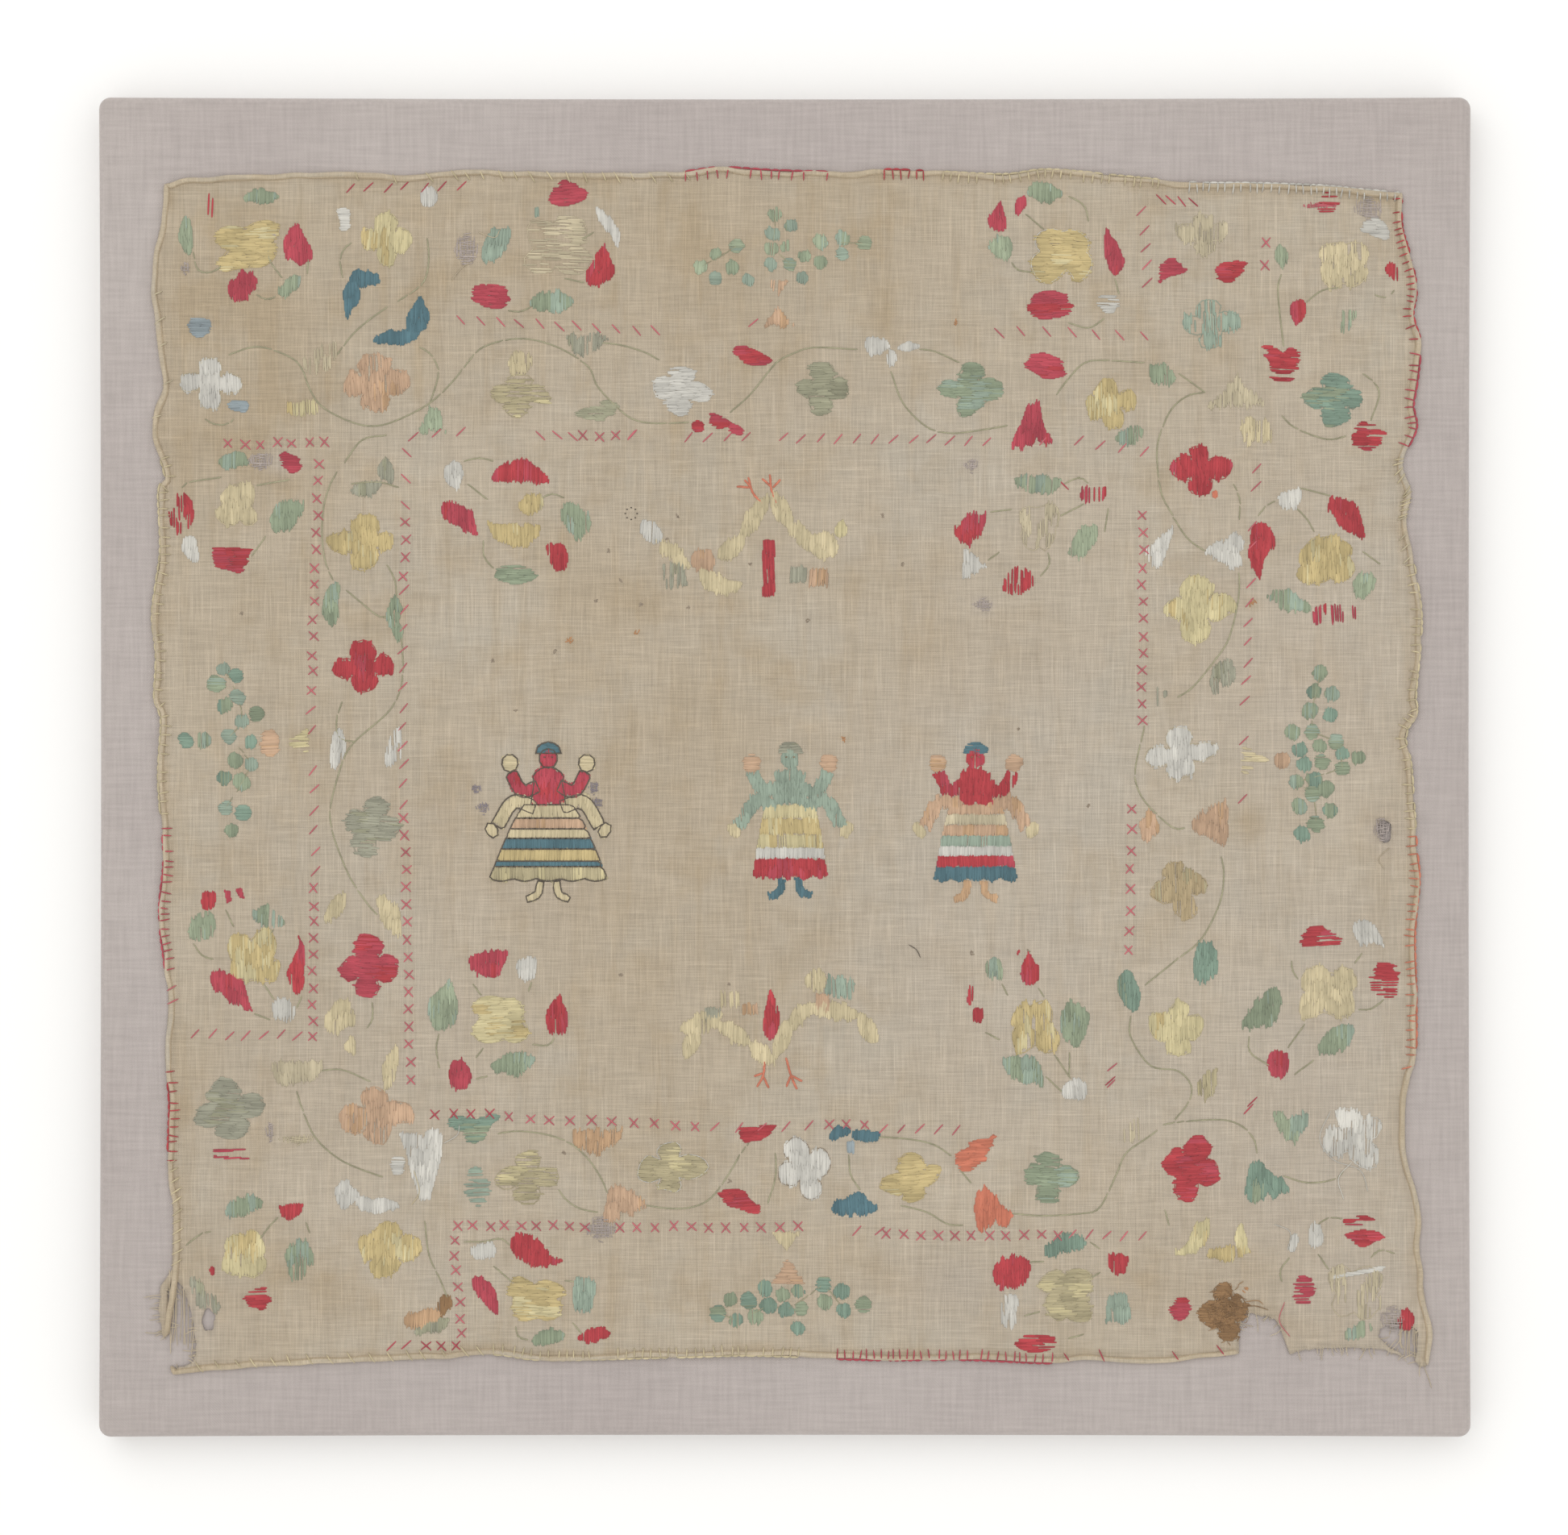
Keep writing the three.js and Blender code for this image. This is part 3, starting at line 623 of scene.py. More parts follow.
def linenFinish(name, colour, pale):
    material, tree, shader = newFinish(name, linenLook["roughness"], linenLook["sheen"])
    base = blendColour(tree, linenPattern(tree, "slow"), srgb(colour), srgb(pale))
    base = blendColour(tree, linenPattern(tree, "cool"), base, srgb(cloth["cool"]))
    warm = combine(tree, "ADD", linenPattern(tree, "warm"), linenPattern(tree, "streaks"))
    # The tan attribute holds stains and painted shade (beside the hem on the linen, along the inner side on
    # the hem), added to random warm mottle
    tan = combine(tree, "MINIMUM", combine(tree, "ADD", attributeOf(tree, "tan"), warm), 1)
    base = blendColour(tree, tan, base, srgb(cloth["tan"]))
    base = blendColour(tree, attributeOf(tree, "pink"), base, srgb(cloth["pink"]))
    base = blendColour(tree, 1.0, base, greyFrom(tree, linenPattern(tree, "small")), "MULTIPLY")

    threads = crossedThreads(tree, linenLook["threads"], 2, 0.6)
    bars = crossedThreads(tree, linenLook["bars"], 3, 0.5)
    paleThreads = combine(tree, "MAXIMUM", linenPattern(tree, "paleWarp"), linenPattern(tree, "paleWeft"))
    weave = weaveBump(tree, linenLook["pitch"])
    grain = threads
    for part, share in ((bars, "barShare"), (paleThreads, "paleShare"), (weave, "weaveShare")):
        grain = combine(tree, "ADD", grain, combine(tree, "MULTIPLY", part, linenLook[share]))
    grain = greyFrom(tree, remap(tree, grain, *linenLook["grain"]))
    tree.links.new(blendColour(tree, 1.0, base, grain, "MULTIPLY"), shader.inputs["Base Color"])
    relief = combine(tree, "ADD", combine(tree, "MULTIPLY", weave, linenLook["weaveRelief"]), threads)
    addBump(tree, shader, relief, linenLook["bump"], linenLook["depth"])
    return material


# The hem's section: share of its width inwards from the edge, share of its height
hemSection = [
    (0.08, 0.08), (-0.02, 0.35), (0.03, 0.68), (0.17, 0.93), (0.38, 1.0), (0.62, 0.96), (0.84, 0.78),
    (0.98, 0.5), (0.98, 0.2), (0.8, 0.02), (0.4, 0.0),
]
# How the hem strays along its length, in mm: the least share and the spread of its width and height
hemSizes = {
    "step": 1.6, "wide": (0.84, 0.3), "wideCell": 9, "tall": (0.86, 0.28), "tallCell": 5, "drift": 1.1,
    "driftCell": 8, "outBy": 0.2, "fadeFrom": 1.2, "fadeOver": 3,
}


# Each side's cloth is rolled over into a narrow ridge
def buildHem():
    points, faces, creaseShade, sides = [], [], [], len(hemSection)
    for rows in hemLines.values():
        line = throughPoints(rows, hemSizes["step"])
        inward = stepsAlong(line)[1]
        walk = np.arange(len(line)) * hemSizes["step"]
        start = len(points)
        wideNoise, tallNoise, driftNoise = (
            softNoise(walk, walk * 0 + start, hemSizes[cell], salt)
            for cell, salt in (("wideCell", 4), ("tallCell", 9), ("driftCell", 2))
        )
        wide = cloth["hemWide"] * (hemSizes["wide"][0] + hemSizes["wide"][1] * wideNoise)
        tall = cloth["hemHigh"] * (hemSizes["tall"][0] + hemSizes["tall"][1] * tallNoise)
        drift = hemSizes["drift"] * (driftNoise - 0.5)
        fade = np.minimum(walk, walk[::-1]) + hemSizes["fadeFrom"]
        fade = np.minimum(1, fade / hemSizes["fadeOver"])
        for i, place in enumerate(line):
            for along, up in hemSection:
                x, y = place + inward[i] * ((along * wide[i] - hemSizes["outBy"]) * fade[i] + drift[i])
                points.append((x, y, sheetBase + cloth["sheetGap"] + tall[i] * fade[i] * up))
                # Painted shade on the hem's inner side and underside, kept in its tan layer
                creaseShade.append(1.0 if along > 0.8 or up < 0.1 else 0.0)
        for i in range(len(line) - 1):
            for k in range(sides):
                a, b = start + i * sides + k, start + i * sides + (k + 1) % sides
                faces.append((a, b, b + sides, a + sides))
        last = start + (len(line) - 1) * sides
        faces.append(tuple(reversed(range(start, start + sides))))
        faces.append(tuple(range(last, last + sides)))
    hem = addMesh("rolledHem", points, faces)
    # On the hem, the tan layer is painted shade only
    addLayer(hem, "tan", creaseShade)
    hem.data.materials.append(linenFinish("hemWeave", cloth["hem"], cloth["hemPale"]))
    return hem


# Thread: one joined mesh for each colour. Stitches are slim padded strands, in mm.
thread = {
    "wide": 0.7, "high": 0.21, "arch": 0.55, "sink": 0.1, "pitch": 0.47, "long": 5.4, "jitter": 0.5,
    "stepOut": 0.9, "stepRows": (1, 4), "fullRagged": 11, "toneSpread": 0.15, "patchSpread": 0.3,
    "patchSize": 5.0,
}
threadColours = {
    "crimson": (169, 42, 57), "rose": (172, 55, 75), "pink": (188, 90, 103), "yellow": (187, 169, 121),
    "lemon": (196, 185, 144), "cream": (194, 181, 147), "ecru": (186, 175, 148), "white": (195, 193, 186),
    "peach": (186, 155, 128), "tanPeach": (186, 152, 118), "orange": (195, 112, 88), "gold": (171, 153, 119),
    "sage": (149, 149, 132), "green": (135, 148, 124), "paleGreen": (147, 159, 134), "teal": (117, 142, 127),
    "mint": (141, 158, 143), "blue": (68, 107, 119), "paleBlue": (142, 155, 161), "straw": (167, 157, 125),
    "olive": (146, 146, 123), "brown": (137, 104, 69), "stem": (152, 149, 121), "dark": (78, 70, 62),
    "mauve": (170, 159, 154), "linenEnd": (188, 174, 149), "speck": (140, 126, 110), "rust": (176, 128, 88),
    "tuft": (136, 128, 134), "fluff": (158, 122, 82),
}
mixedIn = {
    "green": "mint", "teal": "green", "yellow": "lemon", "crimson": "rose", "rose": "crimson",
    "lemon": "yellow", "paleGreen": "mint", "peach": "tanPeach", "gold": "straw", "sage": "olive",
    "straw": "lemon",
}
stitches = {name: [] for name in threadColours}
strands = {name: [] for name in threadColours}


def sew(name, x0, y0, x1, y1, wide=None, high=None, lift=0.0, tone=1.0):
    tone *= 1 + rng.uniform(-1, 1) * thread["toneSpread"]
    stitches[name].append((x0, y0, x1, y1, wide or thread["wide"], high or thread["high"], lift, tone))


# A thread end along these points; a third number is its height over the cloth's face
def layStrand(name, points, wide=0.42, high=0.3, lift=0.05):
    flat = throughPoints([p[:2] for p in points], 0.9)
    ups = np.full(len(flat), lift)
    if len(points[0]) > 2:
        stops = np.linspace(0, 1, len(points))
        ups = np.interp(np.linspace(0, 1, len(flat)), stops, [p[2] for p in points])
    strands[name].append((flat, ups, wide, high, 1 + rng.uniform(-1, 1) * thread["toneSpread"]))


# A stitch's section, as shares of half its width and height
flatOval = [(1, -0.5), (0.5, 0.9), (-0.5, 0.9), (-1, -0.5)]
# Its rings: how far along, and shares of the width and of the arch. It comes to a point at both ends.
stitchRings = [(0.0, 0, 0), (0.06, 0.8, 0.5), (0.3, 1, 1), (0.7, 1, 1), (0.94, 0.8, 0.5), (1.0, 0, 0)]


# Four rings of four points, and a pointed end on either side
def stitchMesh(rows):
    rows = np.array(rows, float)
    x0, y0, x1, y1, wide, high, lift, tone = rows.T
    long = np.maximum(np.hypot(x1 - x0, y1 - y0), 0.01)
    sideX, sideY = -(y1 - y0) / long, (x1 - x0) / long
    points = []
    for t, width, arch in stitchRings:
        x, y = x0 + (x1 - x0) * t, y0 + (y1 - y0) * t
        z = sheetBase + heightAt(x, y) + lift + high * (arch * thread["arch"] - thread["sink"])
        if width == 0:
            points.append(np.column_stack([x, y, z]))
            continue
        out, up = wide * width / 2, high * width * 0.5
        for k, rise in flatOval:
            points.append(np.column_stack([x + sideX * out * k, y + sideY * out * k, z + up * rise]))
    points = np.stack(points, axis=1)
    triangles = [(0, 1 + (k + 1) % 4, 1 + k) for k in range(4)]
    for r in range(3):
        for k in range(4):
            a, b = 1 + r * 4 + k, 1 + r * 4 + (k + 1) % 4
            triangles += [(a, b, b + 4), (a, b + 4, a + 4)]
    triangles += [(17, 13 + k, 13 + (k + 1) % 4) for k in range(4)]
    each = points.shape[1]
    faces = np.array(triangles)[None] + (np.arange(len(rows)) * each)[:, None, None]
    return points.reshape(-1, 3), faces.reshape(-1, 3), np.repeat(tone, each)


# Four points round each stop of a strand, smaller at its two ends
def strandMesh(rows, start):
    points, faces, tones = [], [], []
    for flat, ups, wide, high, tone in rows:
        side = -stepsAlong(flat)[1]
        z = sheetBase + heightAt(flat[:, 0], flat[:, 1]) + ups
        count, first = len(flat), start + len(points)
        for i in range(count):
            size = 0.35 if i in (0, count - 1) else 1
            for k in range(4):
                out = (1, 0, -1, 0)[k] * wide / 2 * size
                up = (0, 1, 0, -1)[k] * high / 2 * size
                points.append((flat[i, 0] + side[i, 0] * out, flat[i, 1] + side[i, 1] * out, z[i] + up))
                tones.append(tone)
        for i in range(count - 1):
            for k in range(4):
                a, b = first + i * 4 + k, first + i * 4 + (k + 1) % 4
                faces += [(a, b, b + 4), (a, b + 4, a + 4)]
        last = first + (count - 1) * 4
        faces += [(first, first + 2, first + 1), (first, first + 3, first + 2),
                  (last, last + 1, last + 2), (last, last + 2, last + 3)]
    return points, faces, tones


# The threads' finish: noise scales in cells per metre, the bump's depth in metres
silk = {
    "roughness": 0.62, "sheen": 0.15, "fade": 130, "fadeRange": (0.3, 0.7, 0.9, 1.1), "dust": 0.08,
    "ply": 3800, "bump": 0.3, "depth": 0.0001,
}


def threadFinish(name, colour):
    material, tree, shader = newFinish(name + "Silk", silk["roughness"], silk["sheen"])
    fade = remap(tree, noiseAt(tree, silk["fade"], 3, (1, 1, 1), 0.6), *silk["fadeRange"])
    shade = greyFrom(tree, combine(tree, "MULTIPLY", attributeOf(tree, "tone"), fade))
    dusty = blendColour(tree, silk["dust"], srgb(colour), srgb(cloth["linen"]))
    tree.links.new(blendColour(tree, 1.0, dusty, shade, "MULTIPLY"), shader.inputs["Base Color"])
    addBump(tree, shader, noiseAt(tree, silk["ply"], 2), silk["bump"], silk["depth"])
    return material


def buildThreads():
    total = 0
    for name, colour in threadColours.items():
        if not stitches[name] and not strands[name]:
            continue
        points, faces, tones = np.zeros((0, 3)), [], np.zeros(0)
        if stitches[name]:
            points, triangles, tones = stitchMesh(stitches[name])
            faces = [tuple(f) for f in triangles]
        more, moreFaces, moreTones = strandMesh(strands[name], len(points))
        if more:
            points, tones = np.concatenate([points, more]), np.concatenate([tones, moreTones])
        sewn = addMesh(name + "Thread", points, faces + moreFaces)
        addLayer(sewn, "tone", tones)
        sewn.data.materials.append(threadFinish(name, colour))
        total += len(sewn.data.polygons)
    print("threads sewn,", total, "triangles,", sum(len(s) for s in stitches.values()), "stitches")


# Fillings. Stitches reach a little past an outline, so it shrinks. Turns are in degrees, lengths in mm.
filling = {
    "shrink": 0.96, "handStray": 2.8, "handCell": 5.5, "turn": 3, "wornRagged": 1.9, "long": (0.8, 1.25),
    "cut": 0.3, "shortest": 0.35, "wornCell": 3.1, "wornSoft": 0.55, "wornChance": 0.45, "wornFrom": 0.12,
    "wornOver": 0.76, "sway": 0.35, "swayBack": 0.4, "over": 0.25, "mixCell": 4.5, "mixStray": 0.12,
    "mixFrom": 0.74, "lift": 0.06, "pitch": (0.9, 1.1),
}


# Where a row of stitches enters and leaves a shape
def rowCrossings(u, v, row):
    crossings = []
    for i in range(len(u)):
        j = (i + 1) % len(u)
        if (v[i] > row) != (v[j] > row):
            crossings.append(u[i] + (row - v[i]) * (u[j] - u[i]) / (v[j] - v[i]))
    return sorted(crossings)


# Filled shapes. The stitches follow the weave, across (0) or up (90), long and short.
def fillShape(shape, name, way=90, cover=1.0, pitch=None, long=None):
    pitch, long = pitch or thread["pitch"], long or thread["long"]
    small = min(1, float(np.ptp(shape, axis=0).min()) / thread["fullRagged"])
    ragged = thread["jitter"] * (1 if cover > 0.9 else filling["wornRagged"]) * small
    turn = math.radians(way + rng.uniform(-filling["turn"], filling["turn"]))
    ahead = np.array([math.cos(turn), math.sin(turn)])
    side = np.array([-ahead[1], ahead[0]])
    middle = shape.mean(axis=0)
    u, v = (shape - middle) @ ahead, (shape - middle) @ side
    salt = rng.uniform(0, 90)
    row = v.min() + pitch * 0.5
    rowsLeft, startStep, endStep = 0, 0.0, 0.0
    while row < v.max():
        if rowsLeft == 0:
            rowsLeft = rng.randint(*thread["stepRows"])
            startStep, endStep = (rng.uniform(-1, 1) * thread["stepOut"] * small for _ in range(2))
        rowsLeft -= 1
        crossings = rowCrossings(u, v, row)
        for first, last in zip(crossings[::2], crossings[1::2]):
            first += rng.uniform(-1, 1) * ragged + startStep
            last += rng.uniform(-1, 1) * ragged + endStep
            count = max(1, round((last - first) / (long * rng.uniform(*filling["long"]))))
            cuts = [first + (last - first) * k / count for k in range(count + 1)]
            for k in range(1, count):
                cuts[k] += rng.uniform(-filling["cut"], filling["cut"]) * long
            for a, b in zip(cuts, cuts[1:]):
                if b - a < filling["shortest"]:
                    continue
                half = (a + b) / 2
                px, py = middle + ahead * half + side * row
                soft = float(softNoise(px, py, filling["wornCell"], salt))
                worn = filling["wornSoft"] * soft + filling["wornChance"] * rng.random()
                if cover < 1 and worn > filling["wornFrom"] + filling["wornOver"] * cover:
                    continue
                sway = rng.uniform(-1, 1) * pitch * filling["sway"]
                p0 = middle + ahead * (a - filling["over"]) + side * (row + sway)
                p1 = middle + ahead * (b + filling["over"]) + side * (row - sway * filling["swayBack"])
                blotch = float(softNoise(px, py, filling["mixCell"], salt + 7))
                blotch += rng.uniform(-filling["mixStray"], filling["mixStray"])
                used = mixedIn.get(name, name) if blotch > filling["mixFrom"] else name
                patch = float(softNoise(px, py, thread["patchSize"], salt + 3))
                shade = 1 + (patch - 0.5) * thread["patchSpread"]
                sew(used, *p0, *p1, lift=rng.uniform(0, filling["lift"]), tone=shade)
        row += pitch * rng.uniform(*filling["pitch"])


# How far out the lobes' middles lie, their radius, the scale of the whole and its turn in degrees
lobeForms = {"corners": (0.54, 0.46, 1.12, 45), "sides": (0.585, 0.415, 1, 0)}
lobeStray = (0.84, 1.12)


# Four round lobes on a small middle, each lobe a little different
def lobedShape(wide, tall, lobes):
    out, radius, scale, turn = lobeForms[lobes]
    lobeTurn = math.radians(turn)
    sizes = [rng.uniform(*lobeStray) for _ in range(4)]
    points, count = [], 56
    for i in range(count):
        angle = 2 * math.pi * i / count
        lobe = round(angle / (math.pi / 2))
        off = angle - lobe * math.pi / 2
        reach = out * math.cos(off) + math.sqrt(max(0.0, radius ** 2 - (out * math.sin(off)) ** 2))
        reach *= 1 + (sizes[lobe % 4] - 1) * math.cos(off * 2)
        points.append((reach * math.cos(angle + lobeTurn) * scale * wide / 2,
                       reach * math.sin(angle + lobeTurn) * scale * tall / 2))
    return np.array(points)


# Half width of a form from its foot (0) to its tip (1)
def leafWidth(form, t):
    if form == "leaf":
        return math.sin(math.pi * t) ** 0.62
    if form == "drop":
        belly = 0.36
        if t < belly:
            return math.sqrt(max(0.0, 1 - (1 - t / belly) ** 2))
        return math.cos(math.pi / 2 * (t - belly) / (1 - belly)) ** 1.1
    return max(0.0, 1 - abs(2 * t - 1) ** 2.6) ** 0.5


# An outline round its own middle, with the tip along +x
def simpleShape(form, long, wide):
    if form == "moon":
        turns = [-math.pi / 2 + math.pi * i / 16 for i in range(17)]
        return np.array([((math.cos(a) - 0.5) * wide, math.sin(a) * long / 2) for a in turns])
    if form == "wedge":
        return np.array([(wide / 2, 0), (-wide / 2, long / 2), (-wide / 2, -long / 2)])
    if form == "bar":
        return np.array([(-long / 2, -wide / 2), (long / 2, -wide / 2), (long / 2, wide / 2),
                         (-long / 2, wide / 2)])
    if form == "fan":
        sides = [(-0.5, -0.12), (-0.1, -0.3), (0.2, -0.45), (0.44, -0.5), (0.52, -0.3), (0.47, -0.1),
                 (0.38, 0)]
        half = [(a * long, b * wide) for a, b in sides]
        return np.array(half + [(a, -b) for a, b in reversed(half[:-1])])
    count = 18
    bend = rng.uniform(-0.06, 0.06) * long if form != "bud" else 0
    low, high = [], []
    for i in range(count + 1):
        t = i / count
        reach, middle = leafWidth(form, t) * wide / 2, bend * math.sin(math.pi * t)
        low.append(((t - 0.5) * long, middle - reach))
        high.append(((t - 0.5) * long, middle + reach))
    return np.array(low + high[-2:0:-1])


def placed(shape, x, y, turn):
    turn = math.radians(turn)
    c, s = math.cos(turn), math.sin(turn)
    return shape @ np.array([[c, s], [-s, c]]) + (x, y)


# Moves an outline a little, so that no two shapes are the same
def byHand(shape):
    x, y = shape.T
    drift = [softNoise(x, y, filling["handCell"], rng.uniform(0, 90)) - 0.5 for _ in range(2)]
    return shape + np.column_stack(drift) * filling["handStray"]


# Short stitches along the rim, for an outline or a ragged edge
def frayRim(shape, name, every=0.9, wide=0.3, lift=0.0):
    closed = np.concatenate([shape, shape[:1]])
    walk = np.concatenate([[0], np.cumsum(np.hypot(*np.diff(closed, axis=0).T))])
    stops = np.linspace(0, walk[-1], max(4, int(walk[-1] / every)))
    line = np.column_stack([np.interp(stops, walk, closed[:, 0]), np.interp(stops, walk, closed[:, 1])])
    for a, b in zip(line, line[1:]):
        sew(name, a[0], a[1], b[0] + (b[0] - a[0]) * 0.18, b[1] + (b[1] - a[1]) * 0.18, wide, 0.22, lift)


# Blossoms: x, y, wide, tall, turn, which way the lobes face, thread, way of the stitches, cover
blossoms = [
    (-199.5, 194, 24, 18.5, 8, "corners", "yellow", 0, 1),
    (-203.5, 97.5, 17.5, 18, 0, "corners", "cream", 90, 1),
    (-85, 194, 26, 22, 0, "corners", "ecru", 0, 0.55),
    (103.5, 191.5, 21.5, 21, 0, "corners", "yellow", 0, 0.95),
    (208.5, 187, 20, 18.5, 0, "corners", "cream", 90, 0.8),
    (201.5, 77, 23.5, 19.5, 6, "corners", "yellow", 90, 1),
    (202, -84, 21, 21.5, -5, "corners", "cream", 90, 1), (94, 89, 16.5, 20, 0, "corners", "ecru", 90, 0.5),
    (-105, -94, 22.5, 20.5, 0, "corners", "lemon", 0, 1),
    (-198, -71, 21, 20, 6, "corners", "yellow", 90, 1),
    (-201, -181.5, 17.5, 18, 0, "corners", "lemon", 90, 0.95),
    (105, -197, 21.5, 22, 0, "corners", "straw", 0, 1),
    (-92, -198.5, 22.5, 17.5, 0, "corners", "yellow", 0, 1),
    (212, -196, 20, 20, 0, "corners", "ecru", 90, 0.35),
    (92.5, -96.5, 18.5, 21.5, 0, "corners", "yellow", 90, 0.9),
    (-148.5, 196, 21.5, 24, 0, "sides", "lemon", 90, 1), (-214, 143, 21, 20, 0, "sides", "white", 90, 1),
    (-153, 142.5, 27, 23, 0, "sides", "peach", 90, 0.92),
    (-99, 138.5, 23.5, 16.5, 0, "sides", "straw", 0, 0.7),
    (-39, 140.5, 24.5, 19.5, -6, "sides", "white", 0, 0.95),
    (14, 141, 21, 20.5, 0, "sides", "olive", 0, 0.95), (69, 140.5, 23.5, 21, 0, "sides", "green", 0, 1),
    (121, 135, 22, 22, 14, "sides", "yellow", 90, 1), (156.5, 199.5, 21, 17, 0, "sides", "ecru", 90, 0.8),
    (158.5, 165, 23.5, 20, 0, "sides", "mint", 90, 0.6), (204.5, 137.5, 25.5, 20, 0, "sides", "teal", 0, 1),
    (154, 111, 23.5, 22.5, 0, "sides", "crimson", 90, 1), (153, 59, 28, 24, 0, "sides", "lemon", 90, 1),
    (147, 4.5, 27.5, 21, 8, "sides", "white", 90, 0.97),
    (146.5, -44.5, 23, 22.5, 18, "sides", "gold", 90, 0.92),
    (146.5, -97, 23, 24.5, 0, "sides", "lemon", 90, 1),
    (151.5, -149, 23.5, 28, -14, "sides", "crimson", 0, 1),
    (212, -137, 23, 24.5, 24, "sides", "white", 90, 0.85),
    (163.5, -202.5, 18.5, 24, 12, "sides", "brown", 0, 1),
    (-95.5, -152.5, 24.5, 21, 0, "sides", "straw", 0, 0.75),
    (-42.5, -149, 25, 21, 0, "sides", "straw", 0, 1),
    (7.5, -149.5, 22.5, 24.5, 20, "sides", "white", 90, 1),
    (47.5, -154, 25, 19, 12, "sides", "yellow", 0, 1), (98.5, -152.5, 23, 20, 0, "sides", "green", 0, 0.9),
    (-156.5, 84, 25.5, 21.5, 0, "sides", "yellow", 90, 1),
    (-156.5, 37, 24.5, 22, 4, "sides", "crimson", 90, 1),
    (-154, -21.5, 21.5, 22.5, -18, "sides", "sage", 0, 0.9), (-155, -75, 22, 24, 0, "sides", "rose", 0, 1),
    (-207, -128, 27.5, 22.5, 12, "sides", "sage", 0, 0.95),
    (-152, -130, 27.5, 24.5, 8, "sides", "peach", 90, 0.92),
    (-148.5, -179.5, 26, 22, 0, "sides", "yellow", 90, 1),
]
rimmed = {(103.5, 191.5): "white", (-42.5, -149): "white", (7.5, -149.5): "speck", (-214, 143): "ecru",
          (105, -197): "ecru", (147, 4.5): "ecru"}

